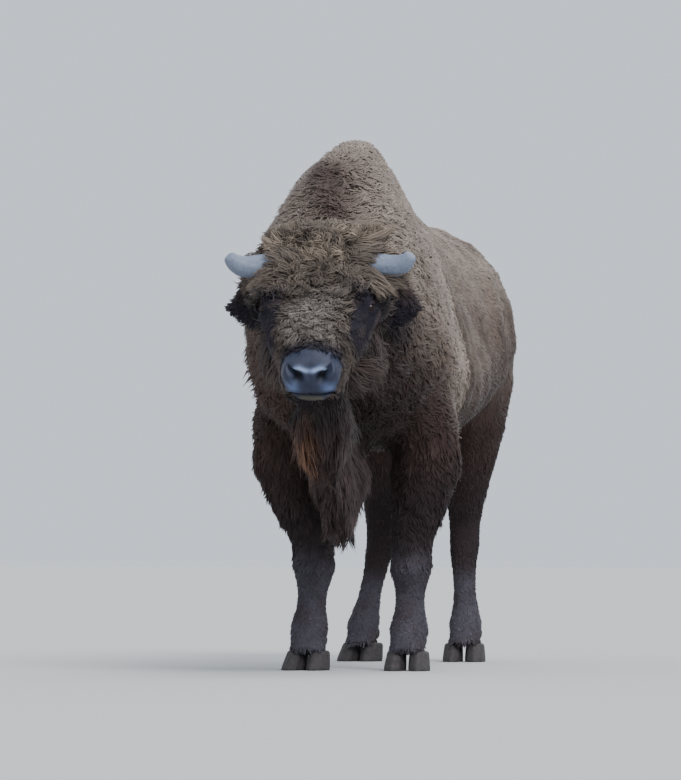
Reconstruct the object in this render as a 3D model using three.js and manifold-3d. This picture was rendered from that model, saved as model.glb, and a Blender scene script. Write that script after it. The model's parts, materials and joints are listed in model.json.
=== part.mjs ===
// A European bison bull (wisent), life size, standing still with its head turned a little to its left.
// Millimetres, +Z up. The head points towards -Y, and the animal's left side is +X.
// The solids are the outside of the coat. The animal is modelled whole, from oval rings joined into
// limbs and masses, and then parted by thin cuts where a person would name its parts.

import * as THREE from 'three';
import { mergeVertices } from 'three/addons/utils/BufferGeometryUtils.js';
import Module from 'manifold-3d';

const wasm = await Module();
wasm.setup();

// ---------------------------------------------------------------- driving dimensions

const HUMP_TOP = 1816; // height over the withers
const RUMP_TOP = 1576; // height over the hips
const BRISKET = 738; // lowest line of the chest
const CHEST_HALF = 352; // half the width across the shoulders
const HIP_HALF = 322; // half the width across the hips
const HIND_Y = 1260; // hind feet behind the forefeet, along the body
const KNEE_Z = 342; // height of the fore knee
const HOCK_Z = 430; // height of the hock
const FETLOCK_Z = 138; // height of all four fetlocks
const HOOF_TOP = 62; // where the hair ends and the claws begin
const ELBOW_CUT = 790; // level where the foreleg is parted from the shoulder
const STIFLE_CUT = 860; // level where the hind leg is parted from the rump
const HEAD_AT = new THREE.Vector3(32, -662, 1345); // middle of the forehead, between the horns
const HEAD_TURN = 7; // degrees that the head turns to the animal's left
const HEAD_DROP = 46; // degrees that the face slopes below level
const CHEST_X = -12; // middle of the chest, beside the middle of the forefeet
const NECK_SWING = 32; // how far the bend of the neck carries the head to the left
const HIP_SWING = -14; // how far the hips stand to the side of the chest
const GAP = 0.4; // clearance between pieces that touch

const COAT = { brown: 0x5d4a3d, dark: 0x33271f, mane: 0x2c211b, face: 0x4a3b32 };

// ---------------------------------------------------------------- rings, lofts and cuts

// Value at u, from 0 to 1, between b and c on the smooth curve through a, b, c and d.
function between(a, b, c, d, u) {
  const cubic = 3 * b - a - 3 * c + d;
  const square = 2 * a - 5 * b + 4 * c - d;
  return 0.5 * (2 * b + (c - a) * u + square * u * u + cubic * u * u * u);
}

// More stations between the ones given, so that each named value runs as a smooth curve.
function smooth(stations, steps) {
  const made = [];
  const last = stations.length - 1;
  for (let i = 0; i < last; i++) {
    const near = [i - 1, i, i + 1, i + 2].map((k) => stations[Math.min(Math.max(k, 0), last)]);
    for (let s = 0; s < steps; s++) {
      const station = {};
      for (const key of Object.keys(stations[0])) {
        station[key] = between(...near.map((n) => n[key]), s / steps);
      }
      made.push(station);
    }
  }
  made.push({ ...stations[last] });
  return made;
}

// A closed surface over rings of equal length, with a fan of faces at each end.
function loft(rings) {
  const sides = rings[0].length;
  const points = rings.flat();
  const faces = [];
  for (let r = 0; r + 1 < rings.length; r++) {
    for (let s = 0; s < sides; s++) {
      const a = r * sides + s;
      const b = r * sides + ((s + 1) % sides);
      faces.push(a, b, b + sides, a, b + sides, a + sides);
    }
  }
  for (const [ring, flip] of [[0, true], [rings.length - 1, false]]) {
    const centre = new THREE.Vector3();
    rings[ring].forEach((p) => centre.addScaledVector(p, 1 / sides));
    points.push(centre);
    for (let s = 0; s < sides; s++) {
      const a = ring * sides + s;
      const b = ring * sides + ((s + 1) % sides);
      faces.push(...(flip ? [b, a, points.length - 1] : [a, b, points.length - 1]));
    }
  }
  return new THREE.BufferGeometry().setFromPoints(points).setIndex(faces);
}

// A geometry as a solid that can be joined and cut. A geometry that came out inside out is turned.
function solid(geometry) {
  const bare = geometry.clone();
  bare.deleteAttribute('normal');
  bare.deleteAttribute('uv');
  const merged = mergeVertices(bare, 1e-3);
  const triVerts = new Uint32Array(merged.index.array);
  const vertProperties = new Float32Array(merged.attributes.position.array);
  const made = new wasm.Manifold(new wasm.Mesh({ numProp: 3, vertProperties, triVerts }));
  if (made.volume() > 0) return made;
  for (let i = 0; i < triVerts.length; i += 3) {
    [triVerts[i + 1], triVerts[i + 2]] = [triVerts[i + 2], triVerts[i + 1]];
  }
  return new wasm.Manifold(new wasm.Mesh({ numProp: 3, vertProperties, triVerts }));
}

function joined(...solids) {
  return solids.reduce((a, b) => a.add(b));
}

// The parts of a solid on either side of a plane, with the gap between them: [ahead, behind].
function split(whole, point, normal) {
  const n = normal.clone().normalize();
  const at = point.dot(n);
  return [
    whole.trimByPlane(n.toArray(), at + GAP / 2),
    whole.trimByPlane(n.clone().negate().toArray(), GAP / 2 - at),
  ];
}

// An egg-shaped mass with the radii given, at a place, for brows, cheeks and muscles.
function egg(place, radii, across = 10, down = 6) {
  const geometry = new THREE.SphereGeometry(1, across, down);
  geometry.rotateX(Math.PI / 2);
  geometry.scale(...radii);
  return geometry.translate(...place);
}

// ---------------------------------------------------------------- trunk and neck

// The x of the animal's middle line at a given y: the neck bends and the hips stand to one side.
function middle(y) {
  const neck = THREE.MathUtils.clamp((-80 - y) / 600, 0, 1.6);
  return CHEST_X + NECK_SWING * neck ** 1.6 + HIP_SWING * THREE.MathUtils.smoothstep(y, 300, 1200);
}

// An upright ring across the body. Above its widest level it narrows towards the ridge of the hump
// and rounds over at the top. The higher the roundness, the squarer the shoulders of the curve.
function bodyRing(s, sides) {
  const ring = [];
  for (let i = 0; i < sides; i++) {
    const angle = (i / sides) * Math.PI * 2;
    const rise = Math.sin(angle);
    const over = (1 - s.ridge * Math.abs(rise) ** 1.3) * Math.sqrt(1 - Math.abs(rise) ** s.round);
    const under = Math.abs(Math.cos(angle)) ** s.keel;
    const height = rise > 0 ? s.top - s.widest : s.widest - s.bottom;
    const x = middle(s.y) + Math.sign(Math.cos(angle)) * (rise > 0 ? over : under) * s.half;
    ring.push(new THREE.Vector3(x, s.y, s.widest + rise * height));
  }
  return ring;
}

// Rings with a clearance added all round.
function widened(stations, grow) {
  const sizes = (s) => ({ top: s.top + grow, bottom: s.bottom - grow, half: s.half + grow });
  return stations.map((s) => ({ ...s, ...sizes(s) }));
}

// From the nape, inside the head, to the end of the buttocks.
const TRUNK = [
  { y: -640, top: 1370, bottom: 1120, widest: 1240, half: 80, ridge: 0, round: 2, keel: 1 },
  { y: -580, top: 1475, bottom: 1000, widest: 1240, half: 194, ridge: 0, round: 2.2, keel: 1 },
  { y: -450, top: 1585, bottom: 870, widest: 1230, half: 280, ridge: 0.12, round: 2.8, keel: 0.9 },
  { y: -280, top: 1696, bottom: 790, widest: 1190, half: 324, ridge: 0.36, round: 4, keel: 0.8 },
  { y: -100, top: 1783, bottom: 750, widest: 1120, half: 350, ridge: 0.55, round: 5, keel: 0.72 },
  { y: 90, top: HUMP_TOP, bottom: BRISKET, widest: 1040, half: CHEST_HALF, ridge: 0.66, round: 6, keel: 0.7 },
  { y: 290, top: 1776, bottom: 738, widest: 1010, half: 336, ridge: 0.74, round: 6, keel: 0.75 },
  { y: 500, top: 1682, bottom: 748, widest: 1020, half: 320, ridge: 0.7, round: 5, keel: 0.8 },
  { y: 720, top: 1600, bottom: 766, widest: 1050, half: 326, ridge: 0.36, round: 3, keel: 0.85 },
  { y: 930, top: 1562, bottom: 802, widest: 1100, half: 328, ridge: 0.14, round: 2.4, keel: 0.9 },
  { y: 1130, top: RUMP_TOP, bottom: 858, widest: 1130, half: HIP_HALF, ridge: 0.08, round: 2.2, keel: 0.95 },
  { y: 1290, top: 1542, bottom: 900, widest: 1150, half: 298, ridge: 0.05, round: 2.2, keel: 0.95 },
  { y: 1420, top: 1455, bottom: 950, widest: 1160, half: 246, ridge: 0, round: 2.1, keel: 1 },
  { y: 1510, top: 1350, bottom: 1015, widest: 1170, half: 165, ridge: 0, round: 2, keel: 1 },
  { y: 1548, top: 1270, bottom: 1075, widest: 1175, half: 78, ridge: 0, round: 2, keel: 1 },
];

function trunk(grow = 0) {
  return solid(loft(widened(smooth(TRUNK, 2), grow).map((s) => bodyRing(s, 18))));
}

// The long hair under the chin, throat and breast, which hangs lowest just ahead of the forelegs.
const THROAT = [
  { y: -912, top: 905, bottom: 862, half: 34, aside: 52 },
  { y: -870, top: 950, bottom: 790, half: 66, aside: 46 },
  { y: -770, top: 980, bottom: 682, half: 88, aside: 34 },
  { y: -630, top: 1000, bottom: 575, half: 90, aside: 18 },
  { y: -490, top: 1000, bottom: 468, half: 86, aside: 8 },
  { y: -370, top: 960, bottom: 400, half: 82, aside: 8 },
  { y: -260, top: 930, bottom: 460, half: 88, aside: 8 },
  { y: -140, top: 880, bottom: 590, half: 86, aside: 4 },
  { y: -20, top: 820, bottom: 680, half: 66, aside: 0 },
];

function throat(grow = 0) {
  const rings = widened(smooth(THROAT, 2), grow).map((s) => {
    const widest = s.bottom + 0.62 * (s.top - s.bottom);
    const upright = { ...s, widest, ridge: 0, round: 2, keel: 1.15 };
    return bodyRing(upright, 10).map((p) => p.setX(p.x + s.aside));
  });
  return solid(loft(rings));
}

// ---------------------------------------------------------------- head

// Places a head point: x to the left, forward along the face from the horns, and up from the face.
const HEAD = new THREE.Matrix4()
  .makeTranslation(HEAD_AT)
  .multiply(new THREE.Matrix4().makeRotationZ(THREE.MathUtils.degToRad(HEAD_TURN)))
  .multiply(new THREE.Matrix4().makeRotationX(THREE.MathUtils.degToRad(HEAD_DROP)));

const onHead = (x, forward, up) => new THREE.Vector3(x, -forward, up).applyMatrix4(HEAD);
const headAxis = (x, forward, up) => new THREE.Vector3(x, -forward, up).transformDirection(HEAD);

// Rings square to the face, from the nape to the lips. Crown is up from the face's own level.
const SKULL = [
  { forward: -190, crown: -10, base: -190, widest: -95, half: 100, brow: 1, jaw: 1 },
  { forward: -150, crown: 66, base: -262, widest: -75, half: 178, brow: 0.7, jaw: 1 },
  { forward: -80, crown: 106, base: -300, widest: -50, half: 204, brow: 0.6, jaw: 1 },
  { forward: 0, crown: 92, base: -325, widest: -30, half: 206, brow: 0.55, jaw: 1 },
  { forward: 85, crown: 66, base: -345, widest: -30, half: 210, brow: 0.55, jaw: 1 },
  { forward: 165, crown: 50, base: -340, widest: -50, half: 208, brow: 0.6, jaw: 1 },
  { forward: 240, crown: 50, base: -315, widest: -80, half: 190, brow: 0.75, jaw: 1 },
  { forward: 310, crown: 44, base: -275, widest: -90, half: 162, brow: 0.85, jaw: 0.95 },
  { forward: 372, crown: 26, base: -240, widest: -90, half: 120, brow: 0.85, jaw: 0.9 },
  { forward: 430, crown: 6, base: -212, widest: -88, half: 104, brow: 0.8, jaw: 0.85 },
  { forward: 470, crown: -20, base: -184, widest: -86, half: 90, brow: 0.85, jaw: 0.9 },
  { forward: 496, crown: -52, base: -130, widest: -88, half: 52, brow: 1, jaw: 1 },
];

function skullRing(s, sides) {
  const ring = [];
  for (let i = 0; i < sides; i++) {
    const angle = (i / sides) * Math.PI * 2;
    const rise = Math.sin(angle);
    const reach = Math.abs(Math.cos(angle)) ** (rise > 0 ? s.brow : s.jaw);
    const height = rise > 0 ? s.crown - s.widest : s.widest - s.base;
    ring.push(onHead(Math.sign(Math.cos(angle)) * reach * s.half, s.forward, s.widest + rise * height));
  }
  return ring;
}

const MOUTH_UP = -104; // level of the mouth, and of the cut above the jaw
const MUZZLE_FORWARD = 384; // where the bare muzzle begins
const EYE = { x: 168, forward: 170, up: -28, radius: 24 };
const NOSTRIL = { x: 36, forward: 484, up: -42 };

function skull(grow = 0) {
  const wider = (s) => ({ crown: s.crown + grow, base: s.base - grow, half: s.half + grow });
  const rings = smooth(SKULL, 2).map((s) => skullRing({ ...s, ...wider(s) }, 16));
  rings[0].forEach((p) => p.sub(headAxis(0, 1, 0).multiplyScalar(grow)));
  const masses = [solid(loft(rings))];
  const mass = (place, radii) => egg(place, radii.map((r) => r + grow)).applyMatrix4(HEAD);
  for (const side of [-1, 1]) {
    masses.push(solid(mass([side * 122, -130, -200], [70, 140, 120]))); // cheek
    masses.push(solid(mass([side * 56, -450, -58], [44, 40, 50]))); // wing of the nostril
  }
  masses.push(solid(mass([0, -436, -160], [66, 46, 42]))); // chin
  return joined(...masses);
}

// A ball in its socket on each side, with an almond opening in the hair in front of it.
function eyeBall(side, grow) {
  const ball = new THREE.SphereGeometry(EYE.radius + grow, 10, 6);
  ball.translate(side * EYE.x, -EYE.forward, EYE.up);
  return solid(ball.applyMatrix4(HEAD));
}

function eyeOpening(side) {
  const almond = egg([side * (EYE.x + 34), -EYE.forward - 10, EYE.up], [50, 37, 26], 10, 6);
  return solid(almond.applyMatrix4(HEAD));
}

// A comma-shaped hollow that runs in, back and out from the front of the muzzle.
function nostril(side) {
  const inner = egg([side * NOSTRIL.x, -NOSTRIL.forward, NOSTRIL.up], [17, 34, 15], 8, 6);
  const outer = egg([side * 66, -(NOSTRIL.forward - 14), NOSTRIL.up + 26], [24, 26, 9], 8, 6);
  return joined(solid(inner.applyMatrix4(HEAD)), solid(outer.applyMatrix4(HEAD)));
}

function mouth() {
  const slit = new THREE.BoxGeometry(240, 130, 5);
  slit.translate(0, -470, MOUTH_UP);
  return solid(slit.applyMatrix4(HEAD));
}

// A tapering tube with round or flat rings along a smooth curve through the points given.
function tube(points, radiusAt, steps, sides, flat = 1) {
  const curve = new THREE.CatmullRomCurve3(points);
  const rings = [];
  for (let i = 0; i <= steps; i++) {
    const along = curve.getTangent(i / steps);
    const across = new THREE.Vector3(0, 0, 1).cross(along).normalize();
    const over = along.clone().cross(across);
    const centre = curve.getPoint(i / steps);
    const radius = radiusAt(i / steps);
    rings.push(Array.from({ length: sides }, (_, s) => {
      const angle = (s / sides) * Math.PI * 2;
      return centre.clone()
        .addScaledVector(across, Math.cos(angle) * radius * flat)
        .addScaledVector(over, Math.sin(angle) * radius);
    }));
  }
  return loft(rings);
}

// Short, thick horns that grow sideways out of the wool and curve up and forward to blunt tips.
const HORN = { root: 128, span: 302, base: 43, tip: 18 };

function horn(side, grow = 0) {
  const points = [
    onHead(side * HORN.root, -6, 4),
    onHead(side * 200, 2, 2),
    onHead(side * 252, 12, 12),
    onHead(side * 284, 12, 32),
    onHead(side * HORN.span, 4, 54),
  ];
  const taper = (t) => THREE.MathUtils.lerp(HORN.base, HORN.tip, t ** 1.7) + grow;
  return solid(tube(points, taper, 8, 10));
}

// Broad, short ears below and behind the horns, with long hair at the rim. The left one lies wider.
const EAR_REACH = { left: 332, right: 318 };

function ear(side, grow = 0) {
  const reach = side > 0 ? EAR_REACH.left : EAR_REACH.right;
  const points = [
    onHead(side * 150, 30, -96),
    onHead(side * 200, 40, -110),
    onHead(side * (reach - 70), 64, -130),
    onHead(side * reach, 84, -134),
  ];
  const leaf = (t) => 12 + grow + 75 * Math.sin(Math.PI * (0.2 + 0.78 * t));
  return solid(tube(points, leaf, 6, 8, 0.42));
}

function earHollow(side) {
  const reach = side > 0 ? EAR_REACH.left : EAR_REACH.right;
  const dish = egg([side * (reach - 58), -106, -84], [44, 26, 34], 10, 6);
  return solid(dish.applyMatrix4(HEAD));
}

// ---------------------------------------------------------------- legs, hooves and tail

// A level ring round a limb.
function limbRing(s, sides) {
  return Array.from({ length: sides }, (_, i) => {
    const angle = (i / sides) * Math.PI * 2;
    return new THREE.Vector3(s.x + Math.cos(angle) * s.wide, s.y + Math.sin(angle) * s.deep, s.z);
  });
}

// Each leg: where its joints and its foot stand across the body.
const FORELEGS = {
  left: { elbow: 226, knee: 180, foot: 171 },
  right: { elbow: -258, knee: -157, foot: -178 },
};
const HINDLEGS = {
  left: { hip: 140, hock: 64, foot: 80 },
  right: { hip: -182, hock: -246, foot: -300 },
};

function foreleg({ elbow, knee, foot }) {
  const stations = [
    { z: 1120, x: elbow * 0.76, y: 10, wide: 50, deep: 110 },
    { z: 980, x: elbow * 0.93, y: -10, wide: 112, deep: 190 },
    { z: 830, x: elbow, y: 0, wide: 126, deep: 180 },
    { z: 690, x: elbow, y: 20, wide: 132, deep: 148 },
    { z: 570, x: elbow * 0.62 + knee * 0.38, y: 14, wide: 112, deep: 116 },
    { z: 450, x: elbow * 0.12 + knee * 0.88, y: 0, wide: 88, deep: 90 },
    { z: KNEE_Z, x: knee, y: -8, wide: 82, deep: 80 },
    { z: 285, x: knee * 0.75 + foot * 0.25, y: -2, wide: 66, deep: 62 },
    { z: 222, x: knee * 0.35 + foot * 0.65, y: 4, wide: 60, deep: 56 },
    { z: FETLOCK_Z, x: foot, y: 4, wide: 70, deep: 68 },
    { z: 96, x: foot, y: -12, wide: 68, deep: 64 },
    { z: HOOF_TOP + GAP, x: foot, y: -22, wide: 72, deep: 64 },
  ];
  return solid(loft(stations.map((s) => limbRing(s, 10))));
}

function hindleg({ hip, hock, foot }) {
  const stations = [
    { z: 1330, x: hip, y: HIND_Y - 60, wide: 80, deep: 130 },
    { z: 1180, x: hip, y: HIND_Y - 50, wide: 136, deep: 226 },
    { z: 1000, x: hip, y: HIND_Y - 58, wide: 138, deep: 228 },
    { z: 860, x: hip * 0.85 + hock * 0.15, y: HIND_Y - 62, wide: 122, deep: 192 },
    { z: 710, x: hip * 0.5 + hock * 0.5, y: HIND_Y - 20, wide: 98, deep: 142 },
    { z: 580, x: hip * 0.15 + hock * 0.85, y: HIND_Y + 38, wide: 74, deep: 98 },
    { z: 490, x: hock, y: HIND_Y + 72, wide: 62, deep: 82 },
    { z: HOCK_Z, x: hock, y: HIND_Y + 72, wide: 60, deep: 80 },
    { z: 350, x: hock * 0.8 + foot * 0.2, y: HIND_Y + 44, wide: 50, deep: 58 },
    { z: 245, x: hock * 0.4 + foot * 0.6, y: HIND_Y + 30, wide: 48, deep: 50 },
    { z: FETLOCK_Z, x: foot, y: HIND_Y + 16, wide: 62, deep: 60 },
    { z: 96, x: foot, y: HIND_Y - 2, wide: 62, deep: 58 },
    { z: HOOF_TOP + GAP, x: foot, y: HIND_Y - 14, wide: 66, deep: 60 },
  ];
  return solid(loft(stations.map((s) => limbRing(s, 10))));
}

// One claw of a cloven hoof: flat below, sloping at the toe, rounded outside and flat inside.
function claw({ x, y, outward, length, turn }) {
  const heights = [0, 12, 38, HOOF_TOP];
  const rings = heights.map((z) => {
    const rise = z / HOOF_TOP;
    const toe = length * (0.66 - 0.3 * rise) - (z === 0 ? 3 : 0);
    const heel = length * (0.34 - 0.02 * rise) - (z === 0 ? 3 : 0);
    const wide = 40 - 6 * rise - (z === 0 ? 2 : 0);
    return Array.from({ length: 8 }, (_, i) => {
      const angle = (i / 8) * Math.PI * 2;
      const side = Math.sin(angle) * wide;
      const along = -Math.cos(angle) * (Math.cos(angle) > 0 ? toe : heel);
      const flatter = side * outward < 0 ? 0.72 : 1;
      return new THREE.Vector3(side * flatter, along + 14 * rise, z);
    });
  });
  const geometry = loft(rings);
  geometry.rotateZ(turn);
  return solid(geometry.translate(x, y, 0));
}

// The small hoof behind the fetlock on each side.
function dewclaw(x, y, side, grow = 0) {
  const geometry = new THREE.SphereGeometry(1, 6, 4);
  geometry.rotateX(Math.PI / 2);
  geometry.scale(17 + grow, 17 + grow, 27 + grow);
  geometry.rotateX(0.45);
  return solid(geometry.translate(x + side * 30, y, 104));
}

// The tuft of hair at the sheath, under the belly of a bull.
const SHEATH = [
  { z: 840, x: CHEST_X - 6, y: 930, wide: 40, deep: 110 },
  { z: 745, x: CHEST_X - 6, y: 905, wide: 40, deep: 92 },
  { z: 680, x: CHEST_X - 6, y: 880, wide: 32, deep: 58 },
  { z: 610, x: CHEST_X - 6, y: 866, wide: 12, deep: 18 },
];

function sheath() {
  return solid(loft(smooth(SHEATH, 2).map((s) => limbRing(s, 8))));
}

// The dock hangs close behind the buttocks and ends in a long tuft.
const TAIL_X = CHEST_X + HIP_SWING;
const TAIL = [
  { z: 1505, x: TAIL_X, y: 1395, wide: 30, deep: 30 },
  { z: 1455, x: TAIL_X, y: 1462, wide: 40, deep: 56 },
  { z: 1390, x: TAIL_X, y: 1520, wide: 38, deep: 46 },
  { z: 1290, x: TAIL_X, y: 1566, wide: 34, deep: 34 },
  { z: 1130, x: TAIL_X + 2, y: 1592, wide: 30, deep: 27 },
  { z: 960, x: TAIL_X + 6, y: 1592, wide: 31, deep: 28 },
  { z: 840, x: TAIL_X + 10, y: 1588, wide: 48, deep: 42 },
  { z: 700, x: TAIL_X + 12, y: 1582, wide: 62, deep: 52 },
  { z: 560, x: TAIL_X + 14, y: 1576, wide: 48, deep: 40 },
  { z: 450, x: TAIL_X + 15, y: 1572, wide: 12, deep: 10 },
];

function tail(grow = 0) {
  const stations = smooth(TAIL, 2).map((s) => ({ ...s, wide: s.wide + grow, deep: s.deep + grow }));
  return solid(loft(stations.map((s) => limbRing(s, 8))));
}

// ---------------------------------------------------------------- parting the whole

const pieces = new Map();

const plane = (x, y, z) => new THREE.Vector3(x, y, z);
const UP = plane(0, 0, 1);

// Legs leave the body at a level cut. What is above it belongs to the shoulder or the rump.
function partLegs() {
  const body = [trunk()];
  const clear = joined(trunk(GAP), throat(GAP));
  for (const side of ['left', 'right']) {
    const limbs = [
      ['foreleg', foreleg(FORELEGS[side]), ELBOW_CUT, KNEE_Z],
      ['hindleg', hindleg(HINDLEGS[side]), STIFLE_CUT, HOCK_Z],
    ];
    for (const [limb, whole, top, joint] of limbs) {
      const [inBody, leg] = split(whole, plane(0, 0, top), UP);
      const [upper, lower] = split(leg.subtract(clear), plane(0, 0, joint), UP);
      pieces.set(`${side}_${limb}_upper`, upper);
      pieces.set(`${side}_${limb}_lower`, lower);
      body.push(inBody);
    }
  }
  return joined(...body);
}

// The trunk from tail to nape, with a socket for the head and one for the root of the tail.
function partTrunk(body) {
  const whole = body.subtract(tail(GAP)).subtract(skull(GAP));
  const [rump, fore] = split(whole, plane(0, 960, 1100), plane(0, 1, -0.1));
  const [barrel, front] = split(fore, plane(0, 400, 1100), plane(0, 1, -0.12));
  const [neck, shoulders] = split(front, plane(0, -250, 1200), plane(0, -1, 0.35));
  const [dock, tuft] = split(tail(), plane(0, 0, 900), UP);
  const mane = throat().subtract(trunk(GAP)).subtract(skull(GAP));
  const [beard, breast] = split(mane, plane(0, -560, 700), plane(0, -1, 0));
  const sheathTuft = sheath().subtract(trunk(GAP));
  const named = { rump, barrel, shoulders, neck, tail_dock: dock, tail_tuft: tuft, sheath_tuft: sheathTuft };
  Object.entries({ ...named, beard, throat_mane: breast }).forEach(([name, p]) => pieces.set(name, p));
}

function partHead() {
  const [upper, jaw] = split(skull(), onHead(0, 0, MOUTH_UP), headAxis(0, 0, 1));
  const [muzzle, face] = split(upper, onHead(0, MUZZLE_FORWARD, 0), headAxis(0, 1, 0.25));
  Object.entries({ face, muzzle, jaw }).forEach(([name, p]) => pieces.set(name, p));
}

function addHeadPieces() {
  let face = pieces.get('face').subtract(mouth());
  let muzzle = pieces.get('muzzle').subtract(mouth());
  for (const [name, side] of [['left', 1], ['right', -1]]) {
    face = face.subtract(eyeOpening(side)).subtract(eyeBall(side, GAP));
    face = face.subtract(horn(side, GAP)).subtract(ear(side, GAP));
    muzzle = muzzle.subtract(nostril(side));
    pieces.set(`${name}_horn`, horn(side));
    pieces.set(`${name}_eye`, eyeBall(side, 0));
    pieces.set(`${name}_ear`, ear(side).subtract(earHollow(side)).subtract(horn(side, GAP)));
    pieces.set('jaw', pieces.get('jaw').subtract(ear(side, GAP)));
    pieces.set('neck', pieces.get('neck').subtract(ear(side, GAP)));
  }
  pieces.set('jaw', pieces.get('jaw').subtract(mouth()));
  pieces.set('face', face);
  pieces.set('muzzle', muzzle);
}

function addHooves() {
  const feet = {
    left_fore: { x: FORELEGS.left.foot, y: -22, turn: 0.05, length: 122 },
    right_fore: { x: FORELEGS.right.foot, y: -22, turn: -0.2, length: 122 },
    left_hind: { x: HINDLEGS.left.foot, y: HIND_Y - 14, turn: 0.12, length: 112 },
    right_hind: { x: HINDLEGS.right.foot, y: HIND_Y - 14, turn: -0.3, length: 112 },
  };
  for (const [name, { x, y, turn, length }] of Object.entries(feet)) {
    const leg = `${name.replace('fore', 'foreleg').replace('hind', 'hindleg')}_lower`;
    for (const [which, outward] of [['outer', x > 0 ? 1 : -1], ['inner', x > 0 ? -1 : 1]]) {
      const spread = turn + outward * 0.09;
      pieces.set(`${name}_${which}_claw`, claw({ x: x + outward * 36, y, outward, length, turn: spread }));
      const heel = y + (name.includes('hind') ? 76 : 80);
      pieces.set(`${name}_${which}_dewclaw`, dewclaw(x, heel, outward));
      pieces.set(leg, pieces.get(leg).subtract(dewclaw(x, heel, outward, GAP)));
    }
  }
}

partTrunk(partLegs());
partHead();
addHeadPieces();
addHooves();

// ---------------------------------------------------------------- the finished group

// One body from a solid: crumbs that a cut leaves beside the body are dropped.
function largest(piece) {
  return piece.decompose().sort((a, b) => b.volume() - a.volume())[0];
}

function geometryOf(piece) {
  const mesh = piece.getMesh();
  const geometry = new THREE.BufferGeometry();
  geometry.setAttribute('position', new THREE.BufferAttribute(new Float32Array(mesh.vertProperties), 3));
  geometry.setIndex(new THREE.BufferAttribute(new Uint32Array(mesh.triVerts), 1));
  geometry.computeVertexNormals();
  return geometry;
}

const COLOURS = [
  [/claw|horn/, 0x4d4a48],
  [/eye/, 0x14100e],
  [/muzzle/, 0x3a3534],
  [/ear|face|jaw/, COAT.face],
  [/mane|tuft/, COAT.mane],
  [/lower/, COAT.dark],
  [/./, COAT.brown],
];

const wisent = new THREE.Group();
wisent.name = 'wisent';
for (const [name, piece] of pieces) {
  const colour = COLOURS.find(([pattern]) => pattern.test(name))[1];
  const material = new THREE.MeshStandardMaterial({ color: colour, roughness: 0.85 });
  const mesh = new THREE.Mesh(geometryOf(largest(piece)), material);
  mesh.name = name;
  wisent.add(mesh);
}

// The origin is on the floor, under the middle of the animal.
const middleOf = new THREE.Box3().setFromObject(wisent).getCenter(new THREE.Vector3());
wisent.children.forEach((mesh) => mesh.geometry.translate(-middleOf.x, -middleOf.y, 0));

export default wisent;
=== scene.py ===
import json
import math
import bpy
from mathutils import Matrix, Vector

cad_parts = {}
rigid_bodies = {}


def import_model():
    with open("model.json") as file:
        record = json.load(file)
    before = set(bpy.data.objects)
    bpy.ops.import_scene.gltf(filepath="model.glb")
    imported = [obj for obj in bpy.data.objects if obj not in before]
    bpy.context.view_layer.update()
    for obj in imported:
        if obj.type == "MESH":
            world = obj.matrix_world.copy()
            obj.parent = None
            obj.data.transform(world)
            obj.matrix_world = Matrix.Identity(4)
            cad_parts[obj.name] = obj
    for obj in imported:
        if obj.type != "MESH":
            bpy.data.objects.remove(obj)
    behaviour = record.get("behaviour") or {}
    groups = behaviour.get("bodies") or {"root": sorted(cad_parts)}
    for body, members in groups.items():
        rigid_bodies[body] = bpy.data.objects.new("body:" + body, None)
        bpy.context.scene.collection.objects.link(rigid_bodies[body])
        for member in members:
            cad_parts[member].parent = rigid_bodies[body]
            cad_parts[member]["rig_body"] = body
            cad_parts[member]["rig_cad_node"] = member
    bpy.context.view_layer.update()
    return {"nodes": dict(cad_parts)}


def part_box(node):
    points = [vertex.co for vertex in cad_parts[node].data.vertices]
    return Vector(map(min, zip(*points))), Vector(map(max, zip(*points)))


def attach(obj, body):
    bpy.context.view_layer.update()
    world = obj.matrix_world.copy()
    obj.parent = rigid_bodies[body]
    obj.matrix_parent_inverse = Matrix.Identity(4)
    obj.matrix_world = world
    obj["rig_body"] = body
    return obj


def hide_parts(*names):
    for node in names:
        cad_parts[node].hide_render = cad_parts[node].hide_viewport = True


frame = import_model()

import zlib

import bpy
import numpy as np
from mathutils import Matrix, Vector
from mathutils.kdtree import KDTree

# -------------------- hide
# One skin over the whole animal, under the coat. It is grown from the joined outer solids, drawn in
# by the depth of the coat over each part, and modelled finer round the eyes, nose and mouth.

HEAD_PLACE = Vector((0.04665, -0.98694, 1.345))
HEAD_TURN, HEAD_DROP = math.radians(7), math.radians(46)
HEAD_AXES = np.array((Matrix.Rotation(HEAD_TURN, 4, "Z") @ Matrix.Rotation(HEAD_DROP, 4, "X")).to_3x3())
GRAIN = 0.017  # of the faces of the hide
MERGE = 1e-5
COAT_DEPTH = {
    "shoulders": 0.019, "neck": 0.023, "barrel": 0.012, "rump": 0.011, "throat_mane": 0.040,
    "beard": 0.028, "sheath_tuft": 0.020, "tail_dock": 0.008, "tail_tuft": 0.032, "face": 0.020,
    "jaw": 0.018, "muzzle": 0.0, "foreleg_upper": 0.016, "foreleg_lower": 0.006,
    "hindleg_upper": 0.008, "hindleg_lower": 0.005, "ear": 0.007, "horn": 0.006, "claw": 0.004,
    "eye": 0.010,
}


def on_head(points):
    """Across, forward along the face and up from it, from the middle of the forehead, in metres."""
    local = (points - np.array(HEAD_PLACE)) @ HEAD_AXES
    return local[:, 0], -local[:, 1], local[:, 2]


def from_head(across, forward, up):
    """World directions from parts across, forward and up on the head."""
    return np.stack(np.broadcast_arrays(across, -np.asarray(forward), up), -1) @ HEAD_AXES.T


def ease(value, low, high):
    """0 below low, 1 above high, and a smooth step between."""
    t = np.clip((value - low) / (high - low), 0, 1)
    return t * t * (3 - 2 * t)


def fade(value, low, high):
    """1 below low, 0 above high, and a smooth step between."""
    return 1 - ease(value, low, high)


def near(value, middle, spread):
    """A soft mask that is 1 at the middle and falls off over the spread."""
    return np.exp(-(((value - middle) / spread) ** 2))


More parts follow.
